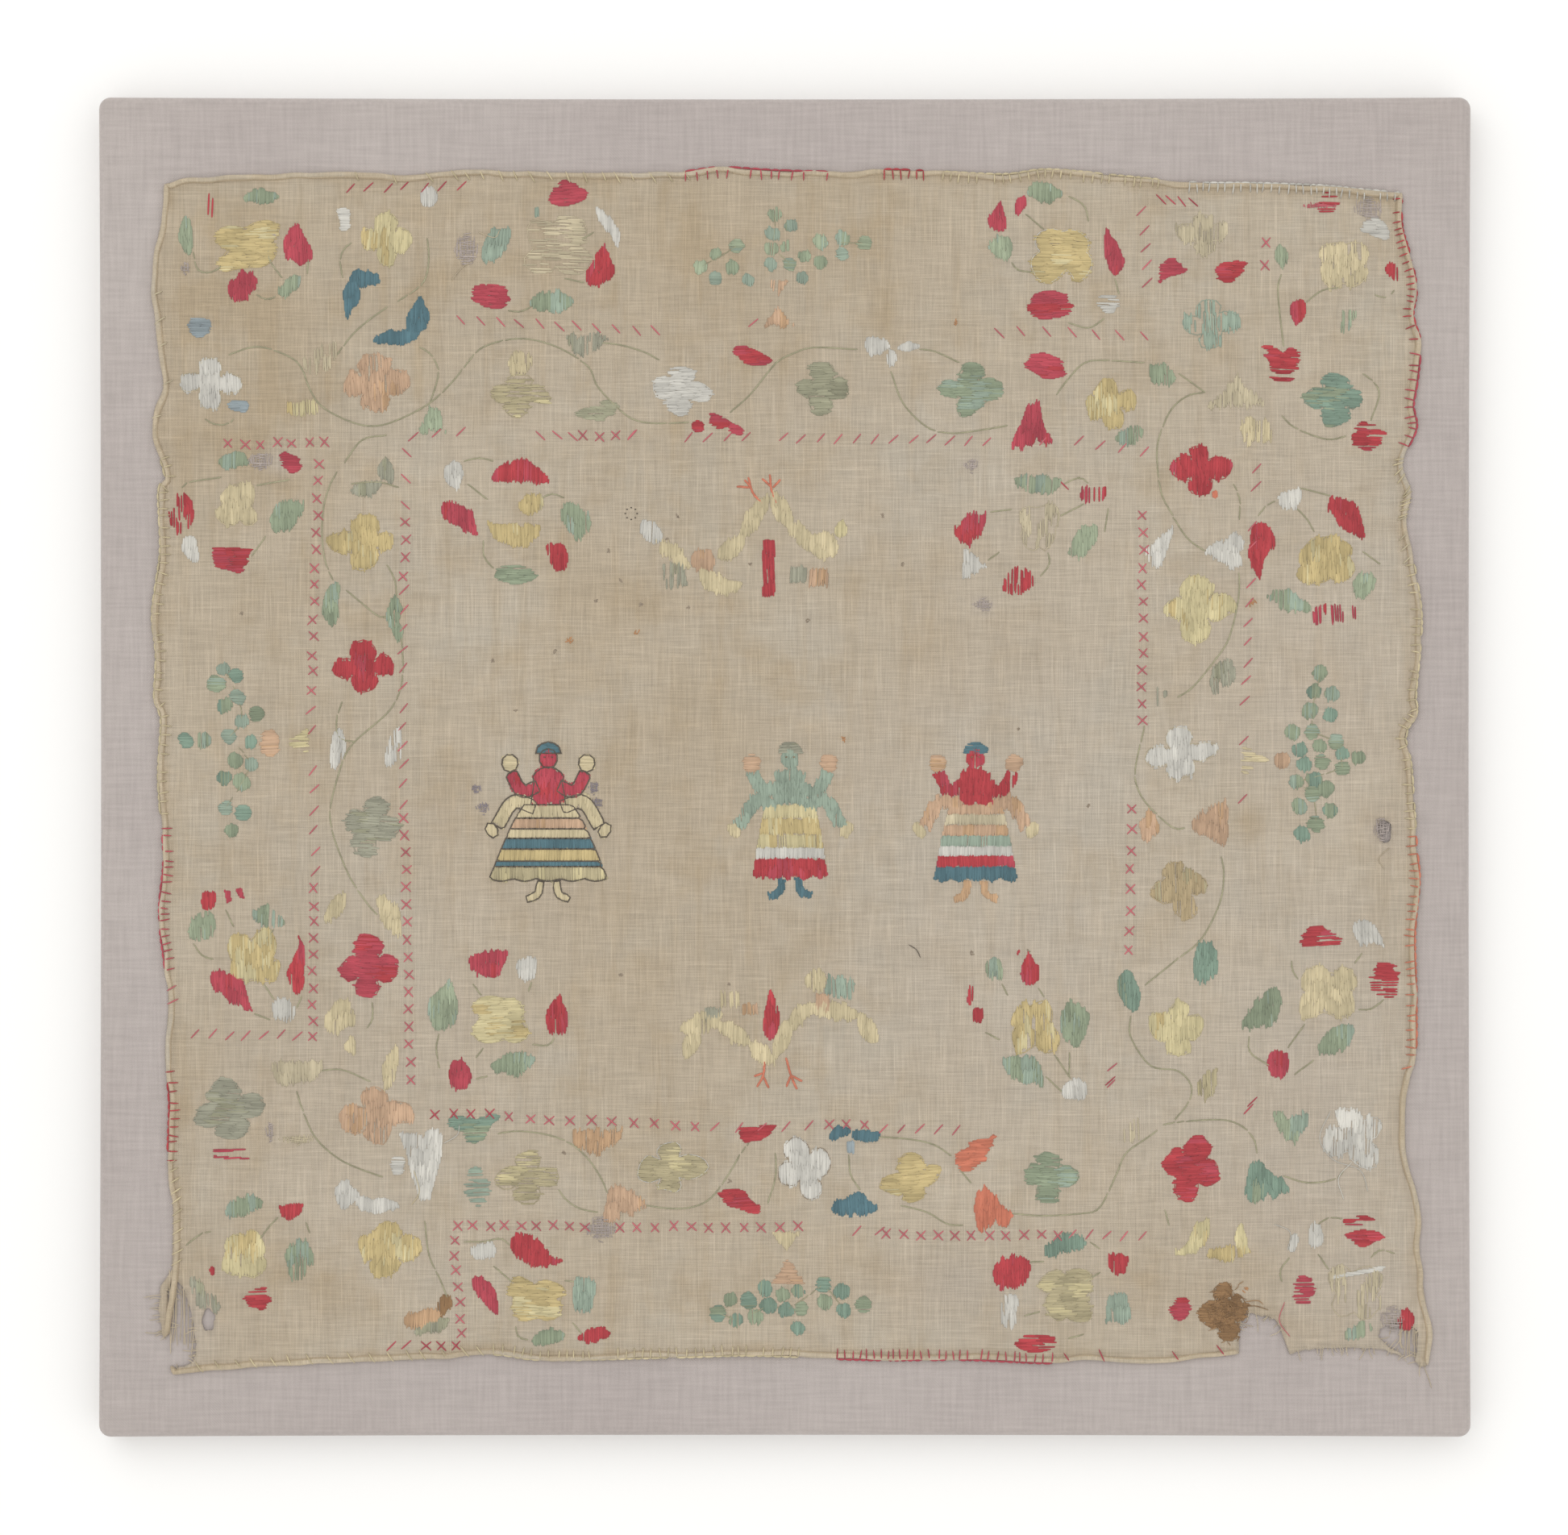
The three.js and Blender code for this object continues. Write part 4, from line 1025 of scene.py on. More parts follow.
# Leaves, buds and the rest: form, x, y, long, wide, turn of the tip, thread, way of the stitches, cover
wreathLeaves = [
    ("leaf", -195, 211.5, 14.5, 6.5, 0, "green", 90, 1), ("bud", -214.5, 209, 7, 7, 0, "crimson", 90, 0.3),
    ("leaf", -223, 197.5, 13, 6, 95, "paleGreen", 90, 1),
    ("drop", -181.5, 195, 16, 9.5, 100, "rose", 90, 1), ("drop", -202.5, 180, 13.5, 11, 80, "rose", 90, 1),
    ("leaf", -184.5, 179, 12, 6, 50, "paleGreen", 90, 1), ("leaf", -204.5, 114, 12, 6.5, 0, "green", 90, 1),
    ("bud", -183.5, 113, 9, 8, 0, "rose", 0, 1), ("bud", -225, 95, 10, 14, 0, "crimson", 90, 0.5),
    ("bud", -221, 81.5, 6, 9.5, 0, "white", 90, 1), ("moon", -206.5, 77, 16, 9, 270, "crimson", 0, 1),
    ("leaf", -185, 93.5, 17, 9, 45, "green", 90, 1), ("leaf", -81, 213, 14.5, 9, 10, "rose", 0, 1),
    ("leaf", -106.5, 194, 17, 9, 55, "mint", 90, 1), ("leaf", -66.5, 201, 18, 5.5, 303, "white", 90, 1),
    ("drop", -68.5, 186.5, 15.5, 10, 75, "crimson", 90, 0.92),
    ("bud", -109.5, 175.5, 12.5, 9.5, 0, "rose", 0, 1), ("leaf", -86.5, 172.5, 17.5, 7, 0, "green", 90, 1),
    ("leaf", -92, 207, 8, 4, 30, "paleGreen", 90, 0.5), ("leaf", 96.5, 213, 15, 7, 0, "green", 90, 1),
    ("drop", 80.5, 205, 10.5, 6.5, 75, "rose", 90, 1), ("drop", 88, 209, 7.5, 4.5, 60, "rose", 90, 1),
    ("leaf", 81, 193.5, 11, 8.5, 110, "paleGreen", 90, 0.9),
    ("drop", 122, 191.5, 17, 6.5, 100, "rose", 90, 1), ("bud", 98, 172, 15.5, 9.5, 0, "rose", 0, 0.85),
    ("bud", 120, 172, 8, 6, 0, "white", 0, 0.7), ("bud", 200, 210.5, 14, 7, 0, "crimson", 0, 0.3),
    ("leaf", 219.5, 200, 14.5, 6, 330, "white", 0, 1), ("bud", 226.5, 184.5, 5, 8.5, 0, "crimson", 90, 0.8),
    ("leaf", 185, 190, 10, 6, 100, "paleGreen", 90, 0.85), ("bud", 190.5, 169, 6, 9, 0, "crimson", 90, 1),
    ("leaf", 207.5, 166.5, 13, 8, 20, "paleGreen", 90, 0.6),
    ("bud", 187.5, 99.5, 9.5, 8.5, 0, "white", 90, 0.9),
    ("drop", 209.5, 92.5, 21, 11, 315, "crimson", 90, 1),
    ("drop", 177.5, 81, 20.5, 9.5, 262, "crimson", 90, 0.95),
    ("leaf", 187.5, 61.5, 18, 8, 350, "green", 90, 0.95),
    ("leaf", 215, 68, 10.5, 8, 70, "paleGreen", 90, 1), ("bud", 204.5, 57, 18, 8.5, 0, "rose", 90, 0.42),
    ("moon", 199, -63, 16, 8.5, 90, "crimson", 0, 0.85),
    ("drop", 217.5, -62.5, 14.5, 8.5, 320, "white", 90, 1),
    ("bud", 223, -79, 11, 13, 0, "crimson", 0, 0.75), ("leaf", 177.5, -90.5, 21, 10, 48, "green", 90, 1),
    ("bud", 184.5, -110, 8, 11.5, 0, "rose", 90, 0.95),
    ("leaf", 205.5, -101.5, 17, 9.5, 40, "green", 90, 0.95),
    ("drop", 70.5, 89, 17, 8.5, 45, "crimson", 90, 0.9), ("wedge", 68.5, 76, 13, 10.5, 120, "white", 90, 1),
    ("bud", 86.5, 70, 11, 9.5, 0, "crimson", 90, 0.65),
    ("leaf", 94.5, 105.5, 19, 7.5, 175, "paleGreen", 90, 0.65),
    ("bud", 115.5, 101.5, 10, 8, 0, "rose", 90, 0.5),
    ("leaf", 111, 84.5, 17.5, 8.5, 45, "paleGreen", 90, 0.95),
    ("bud", -123.5, 108.5, 9, 9.5, 0, "white", 90, 1), ("moon", -98, 110, 22, 8, 90, "crimson", 90, 1),
    ("drop", -120.5, 92.5, 19, 10, 315, "rose", 90, 0.95),
    ("leaf", -78.5, 91, 14, 9.5, 110, "green", 90, 0.9), ("bud", -84.5, 78, 9.5, 9, 0, "crimson", 90, 0.95),
    ("leaf", -100, 72, 16, 8.5, 165, "green", 0, 0.85), ("bud", -94, 98, 9, 7, 0, "yellow", 90, 0.9),
    ("moon", -100.5, 86, 19.5, 9, 270, "yellow", 90, 1),
    ("drop", -109.5, -72, 15.5, 11.5, 25, "rose", 90, 1),
    ("bud", -95.5, -75.5, 7.5, 8, 0, "white", 90, 0.9),
    ("drop", -84, -91.5, 15.5, 9, 85, "crimson", 90, 0.92),
    ("leaf", -126.5, -89, 19.5, 10, 75, "paleGreen", 90, 1),
    ("bud", -120.5, -114, 8, 10.5, 0, "rose", 90, 1), ("leaf", -101.5, -111, 17, 9, 15, "green", 90, 1),
    ("leaf", 77.5, -76, 9, 8, 150, "paleGreen", 90, 0.7), ("drop", 91.5, -75, 13, 7.5, 95, "rose", 90, 1),
    ("bud", 68.5, -85, 3, 8, 0, "crimson", 90, 0.6), ("bud", 72.5, -93, 4, 6, 0, "crimson", 90, 0.6),
    ("bud", 86.5, -70, 2, 5, 0, "crimson", 90, 0.6), ("leaf", 107.5, -95.5, 20, 10, 100, "green", 90, 0.95),
    ("leaf", 88.5, -113, 19, 9.5, 325, "green", 90, 0.95),
    ("bud", 108.5, -119.5, 9, 8.5, 0, "white", 90, 1), ("bud", -214, -49, 7, 7.5, 0, "crimson", 90, 1),
    ("bar", -206.5, -47.5, 2, 4.5, 0, "rose", 90, 1), ("bar", -202.5, -46.5, 2, 4.5, 0, "rose", 90, 1),
    ("leaf", -216.5, -59.5, 14, 10, 50, "paleGreen", 90, 0.9),
    ("leaf", -192, -55.5, 13, 8, 340, "green", 90, 0.9),
    ("drop", -181, -73, 21.5, 6.5, 90, "crimson", 90, 0.95),
    ("drop", -205, -84, 22, 10, 312, "rose", 90, 1), ("bud", -186.5, -91, 11, 8, 0, "white", 90, 0.75),
    ("leaf", -202, -164, 16, 8, 20, "green", 90, 0.85),
    ("moon", -184, -165.5, 9.5, 6.5, 270, "crimson", 90, 1),
    ("leaf", -181, -183.5, 17, 9, 80, "green", 90, 0.85),
    ("bud", -196, -198, 10.5, 8, 0, "crimson", 0, 0.75), ("leaf", -216, -197, 17, 7, 315, "sage", 90, 0.8),
    ("bud", -213, -188, 2.5, 2.5, 0, "crimson", 90, 1), ("bud", 84.5, -188, 13, 11.5, 0, "crimson", 90, 1),
    ("leaf", 104.5, -179, 18, 7.5, 10, "teal", 90, 0.9),
    ("moon", 123.5, -185, 8.5, 7, 270, "crimson", 90, 0.8),
    ("leaf", 123.5, -201, 15, 9.5, 60, "mint", 90, 0.9),
    ("leaf", 84, -202.5, 14.5, 7, 280, "white", 90, 0.8),
    ("bud", 94, -214.5, 16, 6.5, 0, "crimson", 0, 0.7), ("bud", -113, -180, 10.5, 7, 0, "white", 90, 0.85),
    ("drop", -91.5, -180.5, 22.5, 8.5, 335, "crimson", 90, 1),
    ("drop", -110.5, -196.5, 16.5, 7, 298, "rose", 90, 0.95),
    ("leaf", -74, -196.5, 13, 9, 100, "mint", 90, 0.9), ("leaf", -88, -212.5, 14, 6.5, 10, "green", 90, 1),
    ("bud", -70.5, -210.5, 13.5, 5.5, 10, "crimson", 90, 0.95),
    ("bar", 213.5, -188.5, 20, 2, 8, "white", 0, 0.9), ("bud", 213.5, -169, 13, 6, 0, "crimson", 0, 0.55),
    ("leaf", 215.5, -175, 14, 5.5, 0, "crimson", 0, 0.95),
    ("bud", 197.5, -174.5, 5.5, 8.5, 0, "white", 90, 0.9),
    ("bud", 189.5, -177, 3.5, 6.5, 0, "white", 90, 0.9), ("bud", 193, -194.5, 8, 12, 0, "rose", 0, 0.6),
    ("leaf", 214, -210, 11, 6, 10, "paleGreen", 90, 0.7),
    ("bud", 231, -205.5, 6.5, 8.5, 0, "crimson", 90, 0.8),
]
scrollLeaves = [
    ("bud", -164, 204, 6, 9.5, 0, "white", 0, 1), ("bud", -133, 211.5, 6.5, 8, 0, "white", 90, 1),
    ("drop", -162.5, 174, 16, 6, 262, "blue", 90, 1), ("drop", -155.5, 181.5, 12, 6.5, 340, "blue", 90, 1),
    ("leaf", -144.5, 160, 17, 6, 190, "blue", 90, 1), ("leaf", -137, 167, 17, 7.5, 82, "blue", 90, 1),
    ("leaf", -173.5, 152, 17, 9, 35, "ecru", 90, 0.65),
    ("bud", -217.5, 163, 8.5, 6.5, 0, "paleBlue", 0, 0.95), ("bud", -203, 134, 8, 4, 0, "paleBlue", 0, 0.9),
    ("leaf", -179.5, 133, 15.5, 5, 0, "lemon", 90, 0.65),
    ("fan", -131.5, 129, 9, 11, 270, "paleGreen", 90, 0.75),
    ("bud", -97.5, 150.5, 9.5, 8.5, 0, "cream", 90, 0.8), ("fan", -74.5, 156.5, 9, 17, 90, "sage", 90, 0.6),
    ("leaf", -70, 133, 17.5, 6.5, 10, "olive", 0, 0.8), ("leaf", -12.5, 153, 16.5, 7, 350, "rose", 0, 1),
    ("bud", -31.5, 126.5, 4, 4, 0, "rose", 0, 1), ("drop", -23.5, 128.5, 9, 7, 0, "rose", 0, 0.85),
    ("bud", -18.5, 126, 5, 4, 0, "rose", 0, 0.8), ("leaf", 34, 156.5, 9, 5.5, 180, "white", 90, 1),
    ("leaf", 45.5, 156.5, 9, 5, 0, "white", 90, 1), ("bud", 39, 153, 4, 6, 0, "white", 90, 0.6),
    ("leaf", 97, 149, 18, 8.5, 345, "rose", 0, 1), ("fan", 92, 127.5, 16, 16, 270, "rose", 90, 1),
    ("leaf", 140.5, 146.5, 11, 6.5, 340, "green", 90, 0.85),
    ("leaf", 128.5, 122.5, 11, 8, 20, "green", 90, 0.9), ("drop", 143, 184.5, 11.5, 8, 230, "rose", 0, 1),
    ("drop", 166.5, 186, 14.5, 8, 20, "crimson", 0, 1), ("fan", 185, 149, 14, 15, 90, "crimson", 0, 0.8),
    ("bud", 216.5, 123, 12, 10.5, 0, "crimson", 0, 0.75),
    ("wedge", 168.5, 140, 22.5, 12, 90, "ecru", 90, 0.9),
    ("bud", 176, 125, 11.5, 9.5, 0, "cream", 90, 0.75), ("bud", 159.5, 101.5, 2, 2, 0, "orange", 90, 1),
    ("drop", 140, 82.5, 17, 8.5, 60, "white", 90, 0.9), ("fan", 163.5, 80, 14, 13, 0, "white", 90, 0.95),
    ("leaf", 163, 33.5, 16, 8, 65, "sage", 90, 0.7), ("leaf", 138, 26, 12, 7, 30, "sage", 90, 0.45),
    ("leaf", 135.5, -22, 14, 7, 100, "peach", 90, 0.8), ("fan", 158, -21, 13, 17, 0, "peach", 90, 0.85),
    ("leaf", 156.5, -72.5, 17.5, 10.5, 75, "teal", 90, 0.85),
    ("leaf", 128.5, -83.5, 18.5, 8, 100, "teal", 90, 1), ("leaf", 158, -118, 14, 8, 250, "straw", 90, 0.7),
    ("leaf", 129.5, -134.5, 12, 7, 40, "ecru", 90, 0.4), ("fan", 177.5, -153.5, 15, 16, 290, "teal", 90, 1),
    ("fan", 188, -134.5, 12, 13, 90, "paleGreen", 90, 0.85),
    ("leaf", 152.5, -175.5, 21, 7, 48, "lemon", 90, 1), ("leaf", 166, -181.5, 17, 6, 5, "lemon", 90, 0.9),
    ("leaf", 171, -174.5, 12, 4.5, 90, "lemon", 90, 0.7), ("bud", 147, -201, 8, 8, 0, "rose", 0, 0.9),
    ("fan", -115.5, -134.5, 11.5, 18, 90, "teal", 0, 0.95),
    ("leaf", -115, -156.5, 14, 8.5, 280, "mint", 0, 0.75),
    ("moon", -70, -139, 19.5, 8.5, 270, "tanPeach", 90, 0.85),
    ("fan", -61.5, -161.5, 12.5, 17.5, 290, "peach", 90, 0.9),
    ("moon", -11, -136.5, 14.5, 7, 270, "crimson", 0, 1),
    ("leaf", -17, -162, 18.5, 8, 335, "crimson", 0, 0.95),
    ("leaf", 20.5, -136.5, 10, 5.5, 180, "blue", 90, 1), ("leaf", 30.5, -137, 10, 5.5, 0, "blue", 90, 1),
    ("bud", 25, -142, 6, 5, 0, "paleBlue", 90, 0.4), ("leaf", 25.5, -163.5, 18.5, 8, 5, "blue", 90, 0.95),
    ("drop", 71.5, -142.5, 21, 9, 33, "orange", 0, 1), ("fan", 76, -163.5, 16, 16, 290, "orange", 90, 1),
    ("leaf", -148.5, 110, 13, 5.5, 95, "sage", 90, 1),
    ("leaf", -155.5, 104.5, 12, 6, 195, "sage", 90, 0.85),
    ("leaf", -168, 60, 16.5, 7.5, 88, "green", 90, 1),
    ("leaf", -144.5, 55.5, 19.5, 5, 95, "green", 90, 0.85),
    ("leaf", -166.5, 6.5, 17, 6.5, 80, "white", 90, 0.8),
    ("leaf", -146.5, 7.5, 17, 6, 75, "white", 90, 0.65), ("leaf", -168, -52, 13.5, 6, 60, "cream", 90, 0.8),
    ("leaf", -147, -56, 16.5, 8, 110, "cream", 90, 0.75),
    ("leaf", -166, -92.5, 14.5, 9, 60, "cream", 90, 0.95), ("leaf", -161, -103, 9, 4, 280, "cream", 90, 1),
    ("leaf", -146, -111.5, 19.5, 5.5, 80, "cream", 90, 0.75),
    ("bar", -206.5, -143, 14.5, 0.8, 0, "rose", 0, 1), ("bar", -206.5, -145.5, 13, 0.8, 0, "rose", 0, 1),
    ("moon", -182, -113.5, 20, 10, 270, "ecru", 90, 0.75),
    ("drop", -163.5, -158, 12, 8, 120, "white", 90, 1),
    ("leaf", -152.5, -162.5, 17.5, 7, 352, "white", 90, 1),
    ("fan", -134.5, -149, 28, 17, 90, "white", 90, 0.95), ("bud", -143.5, -148, 5, 9, 0, "white", 0, 0.6),
    ("leaf", -134.5, -205, 17, 7, 10, "tanPeach", 90, 0.9),
    ("leaf", -126.5, -200.5, 9, 5, 70, "brown", 90, 0.7),
    ("leaf", -132, -207.5, 13, 4, 15, "sage", 90, 0.9),
]


def sewMotifs():
    for x, y, wide, tall, turn, lobes, name, way, cover in blossoms:
        shape = byHand(placed(lobedShape(wide, tall, lobes) * filling["shrink"], x, y, turn))
        fillShape(shape, name, way, cover)
        frayRim(shape, rimmed.get((x, y), name), 1.6 if (x, y) in rimmed else 2.6)
    for form, x, y, long, wide, turn, name, way, cover in wreathLeaves + scrollLeaves:
        shape = simpleShape(form, long, wide) * filling["shrink"]
        fillShape(byHand(placed(shape, x, y, turn)), name, way, cover)
    print("motifs sewn")


# Places read off the photo, in its pixels
photo = {"middle": (973.5, 951.5), "mmPerPixel": 0.3}


def fromPhoto(x, y):
    return ((x - photo["middle"][0]) * photo["mmPerPixel"], (photo["middle"][1] - y) * photo["mmPerPixel"])


# Stems in stem stitch
stem = {"long": 3.0, "step": 1.75, "walk": 0.25, "wide": 0.5, "high": 0.22, "lean": 0.14, "gone": 0.05}
wreathStems = [
    [(240, 312), (245, 335), (262, 338), (275, 330)], [(335, 300), (333, 320), (350, 345)],
    [(383, 320), (381, 340)], [(318, 365), (330, 372), (342, 368)], [(225, 605), (235, 598), (275, 592)],
    [(360, 595), (318, 602)], [(330, 665), (312, 690)], [(630, 385), (645, 387), (660, 380)],
    [(700, 345), (725, 351)], [(720, 298), (737, 288)], [(1272, 265), (1295, 285)],
    [(1325, 243), (1345, 255), (1350, 275)], [(1255, 325), (1262, 335), (1285, 338)],
    [(1383, 345), (1388, 365)], [(1325, 400), (1350, 407), (1370, 395)],
    [(1590, 340), (1585, 360), (1592, 430)], [(1455, 641), (1473, 668), (1495, 684)],
    [(1620, 375), (1640, 360), (1660, 357)], [(1705, 365), (1718, 370), (1730, 360)],
    [(1560, 640), (1573, 625), (1582, 622)], [(1608, 630), (1622, 645), (1630, 660)],
    [(1612, 605), (1650, 615)], [(1685, 680), (1712, 700)], [(1605, 1180), (1602, 1200), (1610, 1215)],
    [(1690, 1182), (1680, 1195)], [(1717, 1240), (1700, 1252), (1685, 1252)], [(1619, 1270), (1597, 1300)],
    [(1550, 1285), (1550, 1305), (1575, 1322)], [(1605, 1333), (1630, 1315)],
    [(1320, 600), (1340, 592), (1350, 600)], [(1345, 625), (1315, 640)], [(1375, 630), (1370, 660)],
    [(1300, 685), (1302, 700), (1290, 715)], [(1228, 635), (1255, 632)], [(1225, 695), (1240, 685)],
    [(575, 572), (595, 568), (612, 572)], [(580, 600), (605, 620)], [(672, 618), (685, 612), (700, 618)],
    [(600, 670), (600, 690), (612, 705)], [(583, 1215), (597, 1235)], [(660, 1218), (655, 1230)],
    [(660, 1295), (680, 1297), (690, 1285)], [(600, 1300), (590, 1312)],
    [(545, 1282), (541, 1300), (545, 1325)], [(590, 1338), (605, 1335)], [(1243, 1220), (1250, 1235)],
    [(1288, 1225), (1295, 1237)], [(1222, 1280), (1240, 1290)], [(1308, 1308), (1328, 1338)],
    [(1327, 1305), (1326, 1335)], [(1297, 1335), (1318, 1355)], [(280, 1128), (290, 1150)],
    [(240, 1170), (250, 1185), (265, 1190)], [(340, 1153), (330, 1165)], [(327, 1220), (340, 1240)],
    [(375, 1235), (368, 1250)], [(315, 1257), (335, 1265)], [(230, 1545), (250, 1530), (262, 1528)],
    [(320, 1540), (335, 1520), (345, 1510)], [(378, 1510), (384, 1530)], [(1277, 1565), (1295, 1565)],
    [(1352, 1540), (1365, 1550)], [(1270, 1632), (1290, 1627)], [(1345, 1655), (1325, 1660)],
    [(1345, 1590), (1365, 1578)], [(575, 1540), (600, 1540), (622, 1536), (632, 1545)],
    [(612, 1570), (635, 1590)], [(700, 1588), (712, 1590)], [(710, 1640), (722, 1655)],
    [(640, 1645), (642, 1658), (655, 1662)], [(1635, 1518), (1650, 1510), (1665, 1512)],
    [(1600, 1560), (1588, 1575), (1590, 1590)], [(1635, 1555), (1648, 1575)],
    [(1700, 1560), (1712, 1550), (1730, 1555)],
]
scrollStems = [
    [(283, 440), (320, 430), (360, 443), (375, 458), (383, 480), (400, 505), (440, 525), (470, 528),
     (500, 518), (533, 500), (560, 475), (580, 450), (600, 430), (645, 420), (690, 430), (730, 455),
     (740, 478), (765, 505), (785, 520), (810, 525), (855, 524)],
    [(520, 430), (535, 440), (544, 460), (540, 480), (533, 500)],
    [(425, 345), (422, 320), (430, 305), (440, 300)],
    [(530, 295), (532, 320), (528, 345), (515, 360), (470, 388), (440, 412), (418, 440)],
    [(250, 515), (262, 525), (280, 527), (290, 520)], [(745, 425), (770, 428), (800, 437), (818, 447)],
    [(905, 512), (930, 490), (950, 465), (965, 448), (985, 438), (1010, 431), (1070, 434)],
    [(1140, 433), (1160, 436), (1190, 450)],
    [(1105, 460), (1120, 500), (1150, 530), (1175, 537), (1200, 536), (1250, 528)],
    [(1310, 490), (1325, 470), (1345, 450), (1370, 447), (1420, 450)], [(1462, 463), (1495, 487)],
    [(1690, 463), (1705, 475), (1711, 490), (1700, 522)],
    [(1590, 515), (1605, 530), (1645, 545), (1670, 541)],
    [(1495, 487), (1475, 490), (1455, 505), (1442, 530), (1435, 560), (1440, 610), (1455, 640)],
    [(1530, 600), (1538, 620), (1537, 645)],
    [(1537, 710), (1537, 735), (1532, 765), (1523, 795), (1510, 815), (1480, 852), (1460, 865)],
    [(1420, 900), (1408, 955), (1412, 980), (1425, 1000), (1455, 1027), (1470, 1027)],
    [(1515, 1062), (1518, 1085), (1513, 1120), (1490, 1165), (1460, 1190), (1420, 1222)],
    [(1403, 1260), (1402, 1285), (1427, 1322), (1461, 1328), (1478, 1347), (1474, 1368), (1457, 1389)],
    [(1442, 1395), (1469, 1391), (1516, 1389), (1541, 1397), (1556, 1414), (1559, 1431)],
    [(1591, 1458), (1621, 1467), (1655, 1463), (1667, 1452)],
    [(617, 1406), (642, 1403), (677, 1407), (707, 1418), (730, 1438), (747, 1464), (753, 1480)],
    [(690, 1470), (701, 1487), (719, 1499), (742, 1504)],
    [(801, 1495), (830, 1499), (860, 1497), (883, 1485), (906, 1453), (918, 1432), (929, 1418)],
    [(962, 1430), (962, 1460), (952, 1493)], [(1053, 1432), (1055, 1457), (1067, 1476)],
    [(1088, 1410), (1128, 1413), (1159, 1420), (1180, 1434)],
    [(1117, 1495), (1151, 1504), (1174, 1518), (1195, 1520)], [(1190, 1450), (1205, 1468)],
    [(1255, 1505), (1293, 1508), (1343, 1505), (1364, 1498), (1385, 1456), (1396, 1431), (1419, 1414),
     (1436, 1402)],
    [(480, 540), (450, 545), (430, 570), (410, 600), (400, 640), (402, 690), (413, 720)],
    [(435, 600), (470, 598), (495, 605)], [(425, 728), (445, 745), (470, 765), (480, 765)],
    [(480, 700), (490, 720), (492, 740)],
    [(498, 790), (500, 830), (495, 860), (480, 885), (440, 920), (425, 945), (410, 1000), (412, 1030),
     (420, 1055), (435, 1090), (455, 1120), (468, 1135)],
    [(425, 870), (418, 890), (420, 915), (440, 920)], [(462, 1243), (462, 1265), (455, 1275)],
    [(398, 1328), (425, 1327), (460, 1342)],
    [(368, 1353), (375, 1376), (391, 1411), (418, 1436), (444, 1449), (475, 1460)],
    [(527, 1514), (532, 1556), (546, 1587), (555, 1610)], [(1445, 1500), (1450, 1520)],
]


def stemLine(points, name="stem", wide=None, gone=None):
    line = throughPoints(points, stem["walk"])
    reach, step = int(stem["long"] / stem["walk"]), int(stem["step"] / stem["walk"])
    for i in range(0, max(1, len(line) - 4), step):
        if rng.random() < (stem["gone"] if gone is None else gone):
            continue
        a, b = line[i], line[min(i + reach, len(line) - 1)]
        ahead = (b - a) / max(float(np.hypot(*(b - a))), 0.1)
        side = np.array([-ahead[1], ahead[0]]) * stem["lean"]
        sew(name, *(a - side), *(b + side), wide or stem["wide"], stem["high"], 0.02)


# Trees of round dots; each dot is a small filled patch: places in the photo, threads, size of a dot in mm
dotTrees = [
    ([(961, 266), (981, 280), (958, 290), (957, 308), (975, 306), (956, 328), (980, 328), (998, 318),
      (995, 345), (869, 331), (888, 315), (887, 345), (914, 305), (908, 332), (928, 347), (1018, 300),
      (1045, 295), (1045, 315), (1072, 302), (1018, 325)],
     ("paleGreen", "green", "mint"), 4.7),
    ([(277, 830), (293, 838), (268, 848), (295, 865), (279, 875), (318, 885), (300, 895), (230, 918),
      (252, 918), (284, 914), (310, 920), (292, 943), (312, 948), (278, 965), (300, 970), (280, 1002),
      (302, 1008), (287, 1030)],
     ("mint", "teal", "green"), 5.4),
    ([(1637, 835), (1630, 858), (1652, 861), (1625, 882), (1650, 887), (1603, 908), (1627, 908),
      (1612, 930), (1637, 925), (1657, 920), (1617, 948), (1640, 945), (1665, 953), (1665, 935),
      (1685, 940), (1608, 970), (1630, 967), (1645, 978), (1628, 985), (1650, 1005), (1612, 1000),
      (1632, 1022), (1615, 1035)],
     ("green", "teal", "green"), 5.4),
    ([(891, 1629), (906, 1612), (928, 1613), (913, 1638), (937, 1633), (949, 1598), (953, 1619),
      (971, 1606), (990, 1602), (975, 1625), (994, 1623), (990, 1647), (1021, 1593), (1023, 1615),
      (1044, 1602), (1046, 1625), (1071, 1618)],
     ("teal", "green", "teal"), 5.4),
]
# What stands at their feet: form, photo x, y, long, wide, turn, thread, way, cover
treeFeet = [
    ("wedge", 964, 358, 8, 6.5, 270, "peach", 90, 0.9), ("wedge", 965, 393, 12, 7, 90, "peach", 90, 0.9),
    ("bud", 335, 922, 7, 10, 0, "peach", 0, 1), ("wedge", 368, 920, 9.5, 8, 180, "lemon", 0, 0.6),
    ("bud", 1590, 943, 6, 6, 0, "peach", 90, 1), ("wedge", 1557, 943, 11, 9, 0, "cream", 0, 0.65),
    ("wedge", 977, 1577, 12, 9, 90, "peach", 0, 1), ("wedge", 975, 1540, 11, 7, 270, "cream", 90, 0.95),
]
dots = {
    "size": (0.88, 1.14), "flat": (0.85, 1.1), "turn": (0, 60), "ways": (0, 90, 90), "cover": (0.82, 1.1),
    "twigReach": 22, "twigBend": 0.6, "twigWide": 0.34, "twigGone": 0.35,
}


